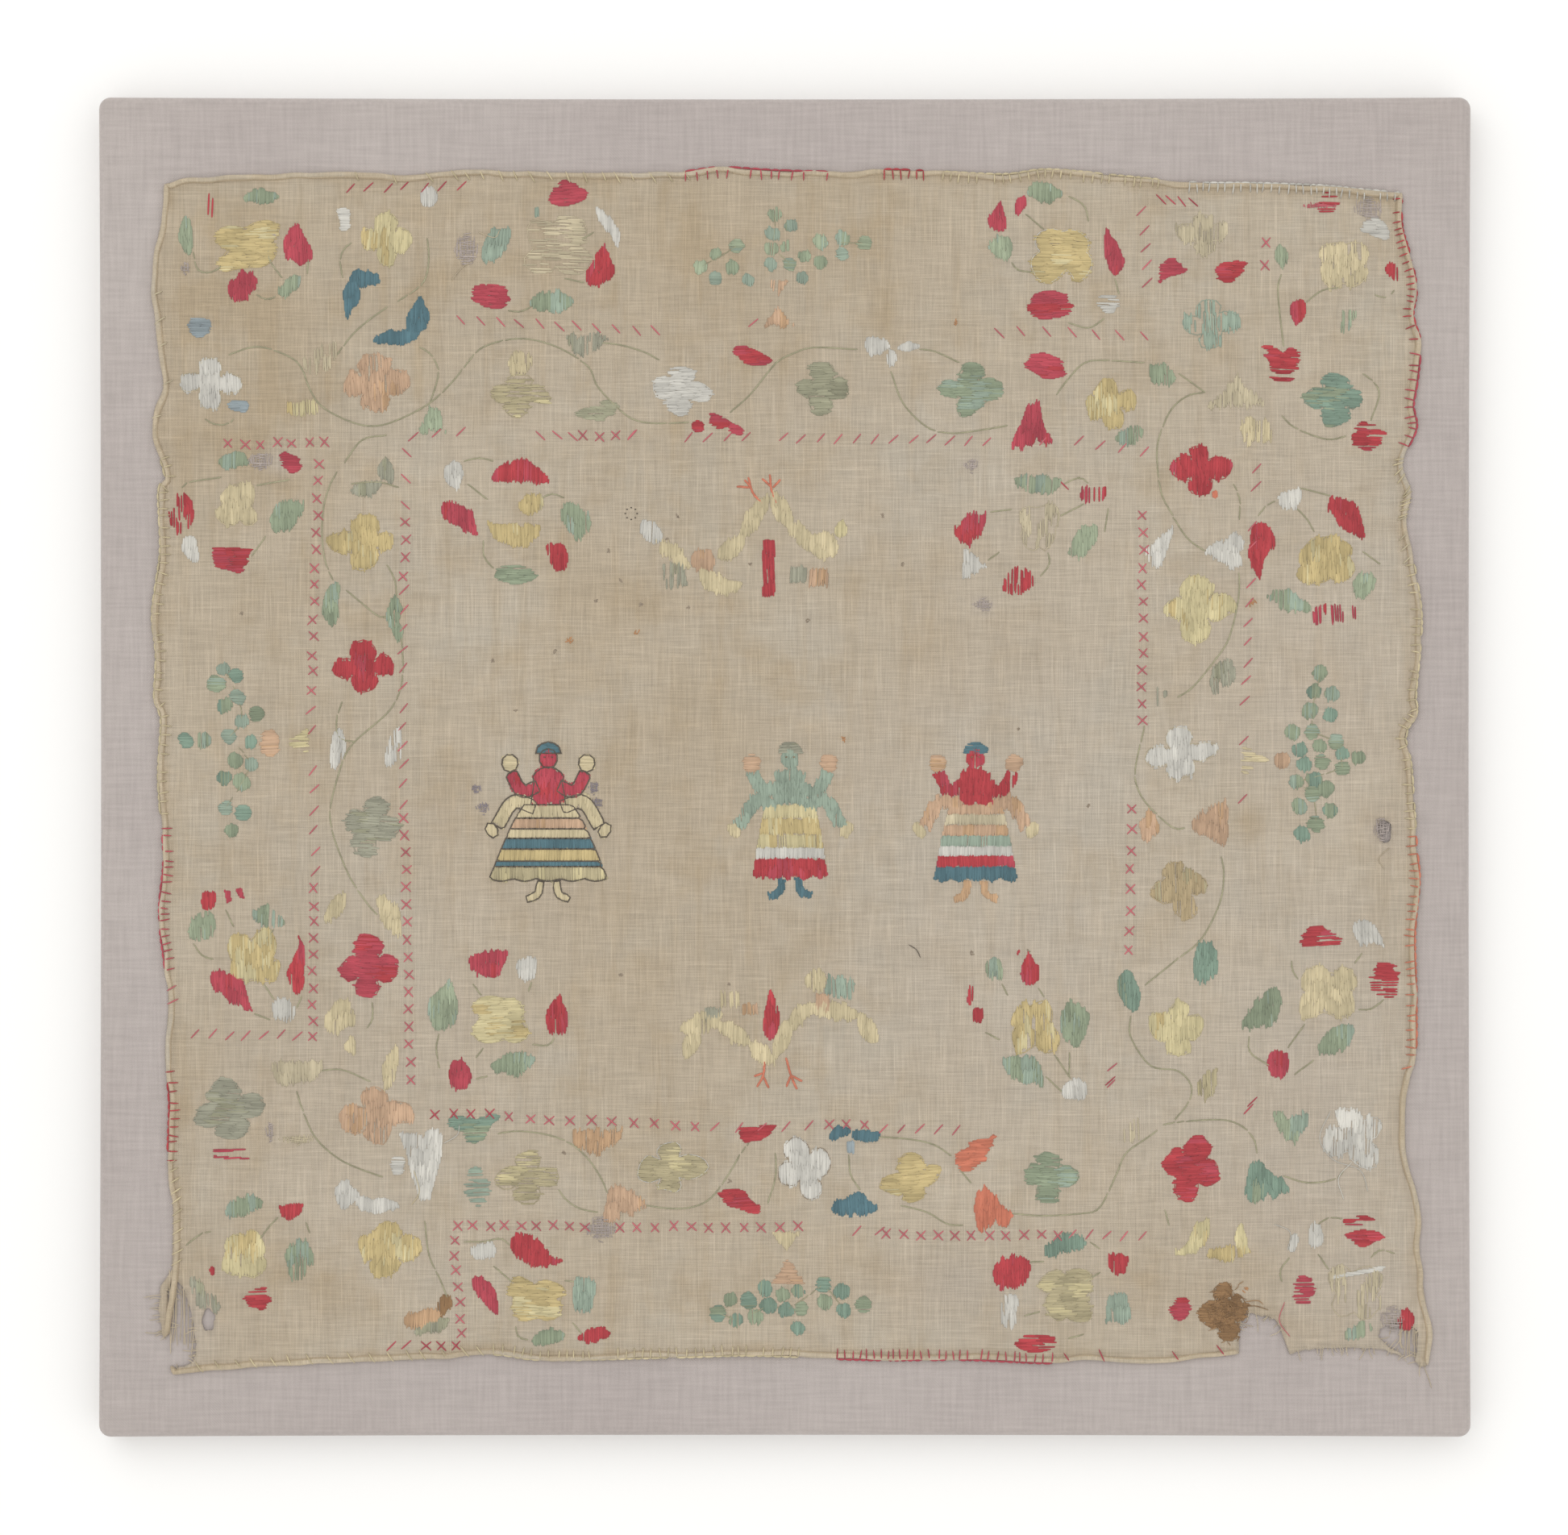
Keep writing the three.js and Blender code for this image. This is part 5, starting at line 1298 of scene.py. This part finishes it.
def sewTrees():
    for places, names, dotSize in dotTrees:
        for i, (x, y) in enumerate(places):
            size = dotSize * rng.uniform(*dots["size"])
            dot = simpleShape("bud", size, size * rng.uniform(*dots["flat"]))
            dot = placed(dot, *fromPhoto(x, y), rng.uniform(*dots["turn"]))
            fillShape(dot, names[i % len(names)], rng.choice(dots["ways"]), rng.uniform(*dots["cover"]))
        middle = [fromPhoto(x, y) for x, y in places[::3]]
        for a, b in zip(middle, middle[1:]):
            if math.dist(a, b) < dots["twigReach"]:
                bend = ((a[0] + b[0]) / 2 + dots["twigBend"], (a[1] + b[1]) / 2)
                stemLine([a, bend, b], "stem", dots["twigWide"], dots["twigGone"])
    for form, x, y, long, wide, turn, name, way, cover in treeFeet:
        fillShape(placed(simpleShape(form, long, wide), *fromPhoto(x, y), turn), name, way, cover)


# Rows of cross stitch: from, to, how many, whole crosses or single slants, thread, slant, share worn away
cross = {
    "size": 3.7, "wide": 0.54, "high": 0.26, "stray": 0.5, "across": (0.8, 1.1), "up": (0.85, 1.1),
    "lift": 0.03, "over": 0.16,
}
crossRows = [
    ((283, 551), (403, 549), 7, "whole", "pink", 1, 0), ((396, 575), (386, 855), 14, "whole", "pink", 1, 0),
    ((386, 880), (391, 1080), 9, "single", "pink", 1, 0.1),
    ((388, 1103), (388, 1287), 10, "whole", "pink", 1, 0),
    ((242, 1283), (370, 1284), 7, "single", "pink", 1, 0),
    ((505, 563), (503, 627), 3, "single", "pink", -1, 0),
    ((504, 648), (500, 714), 4, "whole", "pink", 1, 0),
    ((500, 733), (500, 997), 12, "single", "pink", 1, 0.05),
    ((502, 1015), (509, 1338), 16, "whole", "pink", 1, 0),
    ((512, 540), (570, 535), 3, "single", "pink", 1, 0),
    ((672, 540), (712, 541), 3, "single", "pink", -1, 0),
    ((722, 540), (764, 541), 3, "whole", "pink", 1, 0), ((785, 540), (785, 541), 2, "single", "pink", 1, 0),
    ((855, 541), (1295, 548), 20, "single", "pink", 1, 0.12),
    ((572, 398), (813, 410), 11, "single", "pink", -1, 0.05),
    ((925, 402), (935, 402), 2, "single", "pink", 1, 0.3),
    ((1240, 412), (1265, 412), 2, "single", "pink", -1, 0),
    ((1418, 640), (1416, 895), 13, "whole", "pink", 1, 0),
    ((1403, 1005), (1401, 1178), 8, "whole", "pink", 1, 0.1),
    ((1378, 1325), (1377, 1345), 2, "single", "pink", 1, 0),
    ((1380, 1318), (1375, 1366), 3, "single", "rose", 1, 0.2),
    ((1558, 580), (1540, 990), 18, "single", "pink", 1, 0.25),
    ((1417, 262), (1424, 352), 5, "single", "pink", 1, 0),
    ((1570, 302), (1570, 330), 2, "whole", "pink", 1, 0),
    ((1300, 412), (1420, 418), 5, "single", "pink", -1, 0.2),
    ((1340, 548), (1418, 560), 4, "single", "pink", 1, 0),
    ((540, 1382), (606, 1382), 4, "whole", "rose", 1, 0),
    ((631, 1386), (862, 1396), 10, "whole", "pink", 1, 0),
    ((887, 1398), (1005, 1396), 5, "single", "pink", 1, 0.15),
    ((1030, 1396), (1072, 1396), 3, "whole", "pink", 1, 0),
    ((1095, 1399), (1185, 1401), 5, "single", "pink", 1, 0),
    ((568, 1520), (725, 1521), 9, "whole", "pink", 1, 0),
    ((768, 1521), (990, 1522), 11, "whole", "pink", 1, 0),
    ((1005, 1523), (1090, 1528), 4, "single", "pink", 1, 0.4),
    ((1100, 1531), (1312, 1532), 11, "whole", "pink", 1, 0),
    ((1328, 1532), (1416, 1533), 5, "single", "pink", 1, 0),
    ((563, 1538), (574, 1655), 7, "whole", "pink", 1, 0),
    ((566, 1669), (528, 1669), 3, "whole", "rose", 1, 0),
    ((505, 1669), (485, 1669), 2, "single", "rose", 1, 0),
    ((435, 232), (572, 231), 7, "single", "rose", 1, 0.1),
    ((1548, 1377), (1553, 1365), 2, "single", "rose", 1, 0),
    ((1440, 246), (1480, 252), 4, "single", "rose", -1, 0),
    ((1318, 600), (1318, 601), 1, "single", "rose", -1, 0),
]


def sewCrosses():
    size, stray = cross["size"] / 2, cross["stray"]
    for start, end, count, kind, name, slant, worn in crossRows:
        for k in range(count):
            if rng.random() < worn:
                continue
            t = k / max(1, count - 1)
            x, y = fromPhoto(start[0] + (end[0] - start[0]) * t, start[1] + (end[1] - start[1]) * t)
            x, y = x + rng.uniform(-stray, stray), y + rng.uniform(-stray, stray)
            for number, lean in enumerate((slant, -slant)):
                if number and kind == "single":
                    break
                dx, dy = size * rng.uniform(*cross["across"]) * lean, size * rng.uniform(*cross["up"])
                lift = cross["lift"] + cross["over"] * number
                sew(name, x - dx, y - dy, x + dx, y + dy, cross["wide"], cross["high"], lift)


# Stitches over the hem: side, from and to in the photo (x along top and bottom, else y), thread, pitch, kind
blanket = {
    "reach": 3.6, "reachStray": (0.85, 1.15), "pitchStray": (0.75, 1.25), "lean": 0.5, "slope": 1.1,
    "wide": 0.5, "high": 0.3, "edgeWide": 0.85, "edgeOut": 0.15, "gone": 0.07, "edgeGone": 0.08, "walk": 0.5,
}
hemRuns = [
    ("top", 560, 860, "cream", 6, "whip"), ("top", 850, 1032, "rose", 4.4, "loop"),
    ("top", 1096, 1150, "crimson", 3.2, "loop"), ("top", 1170, 1460, "cream", 3.4, "loop"),
    ("top", 1475, 1740, "white", 3.0, "loop"), ("top", 405, 560, "cream", 12, "whip"),
    ("right", 245, 430, "crimson", 3.0, "loop"), ("right", 440, 565, "rose", 3.6, "loop"),
    ("right", 568, 640, "cream", 2.2, "whip"), ("right", 640, 700, "ecru", 5, "whip"),
    ("right", 700, 1035, "cream", 3.6, "loop"), ("right", 1036, 1320, "orange", 3.4, "loop"),
    ("right", 1320, 1340, "orange", 6, "whip"),
    ("bottom", 230, 600, "cream", 7, "whip"), ("bottom", 610, 990, "cream", 3.6, "loop"),
    ("bottom", 1028, 1305, "rose", 3.0, "loop"), ("bottom", 1320, 1520, "rose", 14, "whip"),
    ("left", 565, 1010, "cream", 3.8, "loop"), ("left", 1025, 1205, "rose", 3.4, "loop"),
    ("left", 1215, 1245, "pink", 5, "whip"), ("left", 1320, 1440, "crimson", 3.6, "loop"),
    ("left", 1440, 1570, "cream", 3.8, "whip"), ("left", 330, 520, "ecru", 12, "whip"),
]


def sewHem():
    over = cloth["hemHigh"] - cloth["thick"] + cloth["sheetGap"]
    for side, start, end, name, pitch, kind in hemRuns:
        line = throughPoints(hemLines[side], blanket["walk"])
        ahead, inward = stepsAlong(line)
        across = side in ("top", "bottom")
        spots = [fromPhoto(v, 0)[0] if across else fromPhoto(0, v)[1] for v in (start, end)]
        along = line[:, 0] if across else line[:, 1]
        inside = np.where((along >= min(spots)) & (along <= max(spots)))[0]
        last, i = None, inside[0]
        while i < inside[-1]:
            place, inn = line[i], inward[i]
            lean = ahead[i] * rng.uniform(-blanket["lean"], blanket["lean"])
            reach = blanket["reach"] * rng.uniform(*blanket["reachStray"])
            if rng.random() > blanket["gone"]:
                slope = ahead[i] * (blanket["slope"] if kind == "whip" else 0)
                # How far inwards, and how high
                steps = (
                    (-0.5, 0.2), (0.3, over * 0.8), (1.4, over + 0.16), (2.6, over * 0.85), (reach, 0.05),
                )
                bar = [(*(place + inn * d + lean * d / 3 + slope * d / 2), z) for d, z in steps]
                layStrand(name, bar, blanket["wide"], blanket["high"])
            edge = place - inn * blanket["edgeOut"]
            if kind == "loop" and last is not None and rng.random() > blanket["edgeGone"]:
                middle = (edge + last) / 2 - inn * 0.12
                loop = [(*last, 0.5), (*middle, 0.55), (*edge, 0.5)]
                layStrand(name, loop, blanket["edgeWide"], blanket["high"])
            last = edge
            i += max(2, int(pitch * rng.uniform(*blanket["pitchStray"]) / blanket["walk"]))


# Two plain birds of joined patches
birdPatches = [
    ("leaf", -41.5, 80, 17, 6, 320, "cream", 90, 0.9), ("leaf", -49.5, 88, 11, 7, 130, "white", 90, 0.95),
    ("bud", -30.5, 77, 9, 8, 0, "peach", 90, 0.9), ("bar", -41, 71.5, 8, 9, 10, "sage", 90, 0.75),
    ("leaf", -20, 82, 14, 6.5, 45, "cream", 90, 1), ("leaf", -11, 93, 19, 6.5, 58, "cream", 90, 1),
    ("leaf", -1, 96, 15, 6.5, 300, "cream", 90, 1), ("leaf", 6, 86, 15, 6.5, 312, "cream", 90, 1),
    ("bud", 14.5, 82.5, 11, 10, 0, "cream", 90, 0.95), ("drop", 21, 89, 7, 4.5, 75, "lemon", 90, 0.9),
    ("moon", -25, 68, 17, 7, 250, "cream", 90, 0.95), ("bar", -6, 74, 21, 4.4, 90, "crimson", 90, 0.95),
    ("bar", 5, 71.5, 6, 6, 0, "sage", 90, 0.8), ("bar", 12.5, 70.5, 7, 6, 0, "peach", 90, 0.7),
    ("leaf", -31, -95, 17, 8, 20, "cream", 90, 0.95), ("drop", -35, -104, 12, 6, 245, "cream", 90, 0.95),
    ("leaf", -19, -99, 16, 6.5, 325, "cream", 90, 1), ("leaf", -8.5, -106.5, 12, 6.5, 320, "cream", 90, 1),
    ("leaf", -1, -101, 16, 6, 70, "cream", 90, 1), ("leaf", 6, -92.5, 14, 6, 45, "cream", 90, 1),
    ("leaf", 18, -91, 20, 7, 350, "cream", 90, 1), ("leaf", 31, -97.5, 13, 6, 300, "cream", 90, 1),
    ("bar", 20.5, -82, 10, 7, 350, "mint", 90, 0.85), ("bar", 14, -88, 5, 7, 0, "peach", 90, 0.85),
    ("bud", 11.5, -79.5, 8, 8, 0, "cream", 90, 0.9), ("drop", -5.5, -92, 19, 6, 90, "crimson", 90, 0.95),
    ("bar", -20.5, -86.5, 7, 6, 0, "cream", 90, 0.7), ("bar", -27, -92, 6, 4.5, 0, "sage", 90, 0.6),
    ("bar", -13, -90, 5.5, 4, 0, "peach", 90, 0.7),
]
birdLegs = [
    [(-13.5, 108), (-12, 102), (-8, 98)], [(-5.5, 109), (-5, 103), (-3, 98)], [(-18, 104.5), (-13, 104)],
    [(-15, 107), (-12.5, 104)], [(-8.5, 107.5), (-5.3, 104.5)], [(-1.5, 107), (-4.5, 104)],
    [(-7.5, -109), (-8, -115), (-10.5, -119)], [(-8, -115), (-6, -119.5)], [(-8.2, -114), (-11.5, -115)],
    [(0.5, -108), (2, -114), (4.5, -120)], [(2, -114.5), (6.5, -117)], [(2.2, -115), (0.5, -119)],
]

# Three plain dolls on one simple pattern: middle of the waist, half widths of the skirt, its bands downwards
dolls = [
    {"waist": (-88, -14), "top": 9, "hem": 22, "bodice": "rose", "sleeve": "rose", "hand": "cream",
     "hood": "blue", "cuff": "cream", "feet": "cream", "line": "dark", "drape": "cream",
     "bands": [("cream", 5), ("peach", 4), ("cream", 3.5), ("blue", 4), ("yellow", 4.5), ("blue", 2),
               ("straw", 5)]},
    {"waist": (2, -14), "top": 9, "hem": 14, "bodice": "mint", "sleeve": "mint", "hand": "peach",
     "hood": "sage", "cuff": "cream", "feet": "blue", "line": None, "drape": "mint",
     "bands": [("lemon", 5), ("yellow", 6), ("lemon", 5), ("white", 4), ("crimson", 7)]},
    {"waist": (71, -14), "top": 9.5, "hem": 15.5, "bodice": "crimson", "sleeve": "crimson", "hand": "peach",
     "hood": "blue", "cuff": "cream", "feet": "tanPeach", "line": None, "drape": "peach",
     "bands": [("peach", 3.5), ("ecru", 4), ("peach", 4), ("mint", 4), ("white", 3.5), ("crimson", 4),
               ("blue", 5)]},
]
dollSizes = {
    "bodiceTall": 14, "bodiceWide": 13, "head": (7.2, 6.6), "hood": (9.5, 4.2), "armReach": 14,
    "armWide": 4.6, "hand": (6.5, 6), "cuff": (6, 4.2), "drapeWide": 5, "footWide": 2.6, "scallops": 5,
    "scallopDip": 1.1, "long": 4.2, "lineEvery": 2.0, "lineWide": 0.55, "lineLift": 0.12, "eyeOut": 1.4,
}


def thickLine(points, wide):
    line = throughPoints(points, 1.0)
    side = -stepsAlong(line)[1] * wide / 2
    return np.concatenate([line + side, (line - side)[::-1]])


# The skirt's bands from the waist down, the last with a scalloped hem
def skirtShapes(doll, total):
    x, y = doll["waist"]
    shapes, down = [], 0
    for number, (name, tall) in enumerate(doll["bands"]):
        corners = []
        for depth in (down, down + tall):
            half = doll["top"] + (doll["hem"] - doll["top"]) * (depth / total) ** 0.8
            corners.append((half, y - depth))
        (topHalf, high), (lowHalf, low) = corners
        shape = [(x - topHalf, high), (x + topHalf, high)]
        if number == len(doll["bands"]) - 1:
            scallops = dollSizes["scallops"]
            for k in range(scallops * 6 + 1):
                t = k / (scallops * 6)
                dip = dollSizes["scallopDip"] * abs(math.sin(math.pi * scallops * t))
                shape.append((x + lowHalf * (1 - 2 * t), low - dip + 0.6))
        else:
            shape += [(x + lowHalf, low), (x - lowHalf, low)]
        shapes.append((shape, name, 90))
        down += tall
    return shapes


# One side's drape, arm, hand, cuff and foot
def limbShapes(doll, side, total):
    x, y = doll["waist"]
    reach = dollSizes["armReach"] * side
    drape = [(x + side * 5, y - 1), (x + side * 13, y + 1), (x + side * 19, y - 8)]
    arm = [(x + side * 4, y + 7), (x + reach * 0.7, y + 5), (x + reach, y + 12)]
    hand = placed(simpleShape("bud", *dollSizes["hand"]), x + reach * 1.02, y + 15.5, 90)
    cuff = placed(simpleShape("bud", *dollSizes["cuff"]), x + side * 21, y - 9.5, 60 * side)
    foot = [(x + side * 3, y - total - 0.5), (x + side * 4, y - total - 5.5), (x + side * 8, y - total - 7)]
    return [
        (thickLine(drape, dollSizes["drapeWide"]), doll["drape"], 90),
        (thickLine(arm, dollSizes["armWide"]), doll["sleeve"], 90),
        (hand, doll["hand"], 0), (cuff, doll["cuff"], 90),
        (thickLine(foot, dollSizes["footWide"]), doll["feet"], 90),
    ]


def sewDoll(doll):
    x, y = doll["waist"]
    total = sum(band[1] for band in doll["bands"])
    shapes = skirtShapes(doll, total) + limbShapes(doll, -1, total) + limbShapes(doll, 1, total)
    wide, tall = dollSizes["bodiceWide"] / 2, dollSizes["bodiceTall"]
    left = [(-wide, 0), (-wide * 0.8, tall * 0.6), (-wide * 0.9, tall * 0.8), (-2, tall)]
    bodice = [(x + a, y + b) for a, b in left] + [(x - a, y + b) for a, b in reversed(left)]
    headY = y + tall + dollSizes["head"][0] * 0.45
    head = placed(simpleShape("bud", *dollSizes["head"]), x, headY, 90)
    hood = placed(simpleShape("moon", *dollSizes["hood"]), x, headY + 4, 90)
    shapes += [(bodice, doll["bodice"], 90), (head, doll["bodice"], 90), (hood, doll["hood"], 0)]
    for shape, name, way in shapes:
        shape = np.array(shape, float)
        fillShape(shape, name, way, 1 if doll["line"] else 0.96, thread["pitch"], dollSizes["long"])
        if doll["line"]:
            frayRim(shape, doll["line"], dollSizes["lineEvery"], dollSizes["lineWide"], dollSizes["lineLift"])
    for side in (-1, 1):
        eye, half = x + side * dollSizes["eyeOut"], 0.4
        sew("dark" if doll["line"] else "brown", eye - half, headY + 0.5, eye + half, headY + 0.5, 0.4, 0.25,
            0.32)


# Darns, worn bits and loose ends: x, y, across, up, thread
darns = [
    (-195, 114, 10, 7, "mauve"), (-118.5, 192.5, 9, 12, "mauve"), (217.5, 208, 11, 9, "mauve"),
    (-68.5, -171.5, 12, 9, "mauve"), (226, -205, 9, 9, "mauve"), (-190, 198, 2, 2, "mauve"),
    (-114.5, -8, 4.5, 4, "tuft"), (-112, -15, 5, 4.5, "tuft"), (-71, -7.5, 4, 5, "tuft"),
    (-69.5, -13, 4.5, 4, "tuft"), (-181, -138.5, 13, 4, "ecru"), (-191.5, -136, 3, 8, "mauve"),
    (199.5, 209, 13, 3, "pink"), (74, 60.5, 7, 5, "mauve"), (69.5, 112.5, 5, 5, "mauve"),
    (222, -23, 6, 9, "mauve"), (-223, 186, 4, 5, "mauve"),
]
darnLook = {"pitch": 0.6, "stray": 0.4, "lean": 0.9, "overLean": 0.8, "wide": 0.36, "high": 0.22, "over": 0.1}
matted = {
    "middle": (164.5, -202), "reach": (7, 9.5), "count": 150, "long": (1.2, 3.6), "bend": 0.9,
    "threads": ("brown", "brown", "brown", "fluff"),
}
looseEnds = [
    ("white", [(203, -128), (199, -138), (204, -146), (214, -150), (217, -158)]),
    ("white", [(211, -147), (206, -153), (208, -161)]),
    ("brown", [(170, -201), (175, -200.5), (180, -202)]),
    ("fluff", [(171, -199), (176, -198.5), (178, -200)]), ("dark", [(46, -66), (49, -68), (50.5, -71)]),
    ("linenEnd", [(-124, 181), (-120, 186), (-116, 188)]),
    ("linenEnd", [(236.8, -219, 0.3), (238.5, -224.4, -0.4), (240, -228.5, -0.6), (240.8, -231.3, -0.7)]),
    ("linenEnd", [(-114, 199), (-108, 197), (-106, 200)]),
    ("pink", [(186, -199), (184, -206), (188, -212)]),
    ("cream", [(-138, -150), (-136, -158), (-139, -163)]),
    ("white", [(-127, -140), (-122, -137), (-121, -133)]),
    ("linenEnd", [(225, -30), (221, -34), (223, -38)]), ("white", [(182, -170), (188, -173), (187, -180)]),
]
specks = [
    (770, 720), (795, 750), (853, 752), (740, 745), (755, 683), (612, 820), (905, 1465), (770, 1208),
    (1206, 1182), (640, 880), (688, 808), (828, 670), (1002, 770), (560, 640), (1120, 700), (1095, 640),
    (840, 640), (930, 700), (1262, 905), (1275, 1180), (700, 1430), (1350, 1000), (300, 760), (215, 640),
    (1655, 1000), (905, 1220),
]
rustSpots = [
    (705, 795), (709, 793), (790, 785), (1047, 917), (1553, 750), (1556, 746), (1185, 400), (1545, 1600),
]
dotRing = {"middle": (783, 637), "across": 4.4, "count": 8}
frays = {"space": 0.8, "gone": 0.45, "long": (1.5, 6.5), "rooted": 1.2, "wide": 0.3, "high": 0.22}
# Loose warp ends at the two lower corners: x from and to, y from and to, how many
warpEnds = [(-229, -219, -187, -219, 11), (229, 238, -207, -221, 12)]


# Threads up and then across, shorter towards the sides
def sewDarns():
    pitch, stray, lean, overLean = (darnLook[key] for key in ("pitch", "stray", "lean", "overLean"))
    wide, high = darnLook["wide"], darnLook["high"]
    for x, y, across, up, name in darns:
        for k in range(int(across / pitch)):
            at = x - across / 2 + k * pitch + rng.uniform(-stray, stray)
            reach = up / 2 * math.sqrt(max(0.05, 1 - ((at - x) / across * 1.9) ** 2))
            low = y - reach * rng.uniform(0.4, 1.1)
            top = at + rng.uniform(-lean, lean)
            sew(name, at, low, top, y + reach * rng.uniform(0.4, 1.1), wide, high)
        for k in range(int(up / pitch)):
            at = y - up / 2 + k * pitch + rng.uniform(-stray, stray)
            reach = across / 2 * math.sqrt(max(0.05, 1 - ((at - y) / up * 1.9) ** 2))
            left, right = x - reach * rng.uniform(0.3, 1), x + reach * rng.uniform(0.3, 1)
            sew(name, left, at, right, at + rng.uniform(-overLean, overLean), wide, high, darnLook["over"])


def sewMatted():
    for _ in range(matted["count"]):
        x = matted["middle"][0] + rng.gauss(0, 0.5) * matted["reach"][0]
        y = matted["middle"][1] + rng.gauss(0, 0.5) * matted["reach"][1]
        turn, long = rng.uniform(0, 2 * math.pi), rng.uniform(*matted["long"])
        bend = turn + rng.uniform(-matted["bend"], matted["bend"])
        x1, y1 = x + math.cos(turn) * long / 2, y + math.sin(turn) * long / 2
        x2, y2 = x1 + math.cos(bend) * long / 2, y1 + math.sin(bend) * long / 2
        layStrand(rng.choice(matted["threads"]), [(x, y), (x1, y1), (x2, y2)], 0.3, 0.24,
                  rng.uniform(0.15, 0.5))


def sewSpots():
    for name, places, size in (("speck", specks, 0.55), ("rust", rustSpots, 0.8)):
        for place in places:
            x, y = fromPhoto(*place)
            for _ in range(4):
                turn = rng.uniform(0, math.pi)
                atX, atY = x + rng.uniform(-size, size), y + rng.uniform(-size, size)
                dx, dy = size * math.cos(turn), size * math.sin(turn)
                sew(name, atX - dx, atY - dy, atX + dx, atY + dy, 0.5, 0.12)
    x, y = fromPhoto(*dotRing["middle"])
    for k in range(dotRing["count"]):
        turn = 2 * math.pi * k / dotRing["count"]
        dx, dy = dotRing["across"] / 2 * math.cos(turn), dotRing["across"] / 2 * math.sin(turn)
        sew("dark", x + dx - 0.35, y + dy, x + dx + 0.35, y + dy, 0.5, 0.14)


def strayPlace(most):
    return np.array([rng.uniform(-most, most), rng.uniform(-most, most)])


# Frayed threads hang from the torn edges down to the board
def sewFrays():
    drop = -cloth["thick"] * 0.7
    for rows in (rightTear, lowerNotch, leftTear):
        line = throughPoints(rows, frays["space"])
        ahead = np.gradient(line, axis=0)
        out = np.column_stack([-ahead[:, 1], ahead[:, 0]]) / frays["space"]
        for place, way in zip(line, out):
            if rng.random() < frays["gone"]:
                continue
            long = rng.uniform(*frays["long"]) * rng.random()
            start, end = place - way * frays["rooted"], place + (way + strayPlace(0.5)) * long
            bend = (start + end) / 2 + strayPlace(0.6)
            points = [(*start, 0.02), (*bend, drop * 0.4), (*end, drop)]
            layStrand("linenEnd", points, frays["wide"], frays["high"])
    for x0, x1, y0, y1, count in warpEnds:
        for k in range(count):
            x = x0 + (x1 - x0) * k / (count - 1) + rng.uniform(-0.4, 0.4)
            bend = (x + rng.uniform(-0.8, 0.8), (y0 + y1) / 2, -0.2)
            end = (x + rng.uniform(-1, 1), y1 + rng.uniform(0, 6), -0.3)
            layStrand("linenEnd", [(x, y0, 0), bend, end], 0.32, frays["high"])


def sewWear():
    sewDarns()
    sewMatted()
    for name, points in looseEnds:
        layStrand(name, points, 0.3, 0.28, 0.3)
    sewSpots()
    sewFrays()
    print("wear sewn")


def sewAll():
    sewMotifs()
    for points in wreathStems + scrollStems:
        stemLine([fromPhoto(x, y) for x, y in points])
    sewTrees()
    sewCrosses()
    sewHem()
    for form, x, y, long, wide, turn, name, way, cover in birdPatches:
        fillShape(placed(simpleShape(form, long, wide), x, y, turn), name, way, cover)
    for points in birdLegs:
        stemLine(points, "orange", 0.85, 0.0)
    for doll in dolls:
        sewDoll(doll)
    sewWear()


setStudio()
board = buildBoard()
buildCloth()
sewAll()
buildThreads()
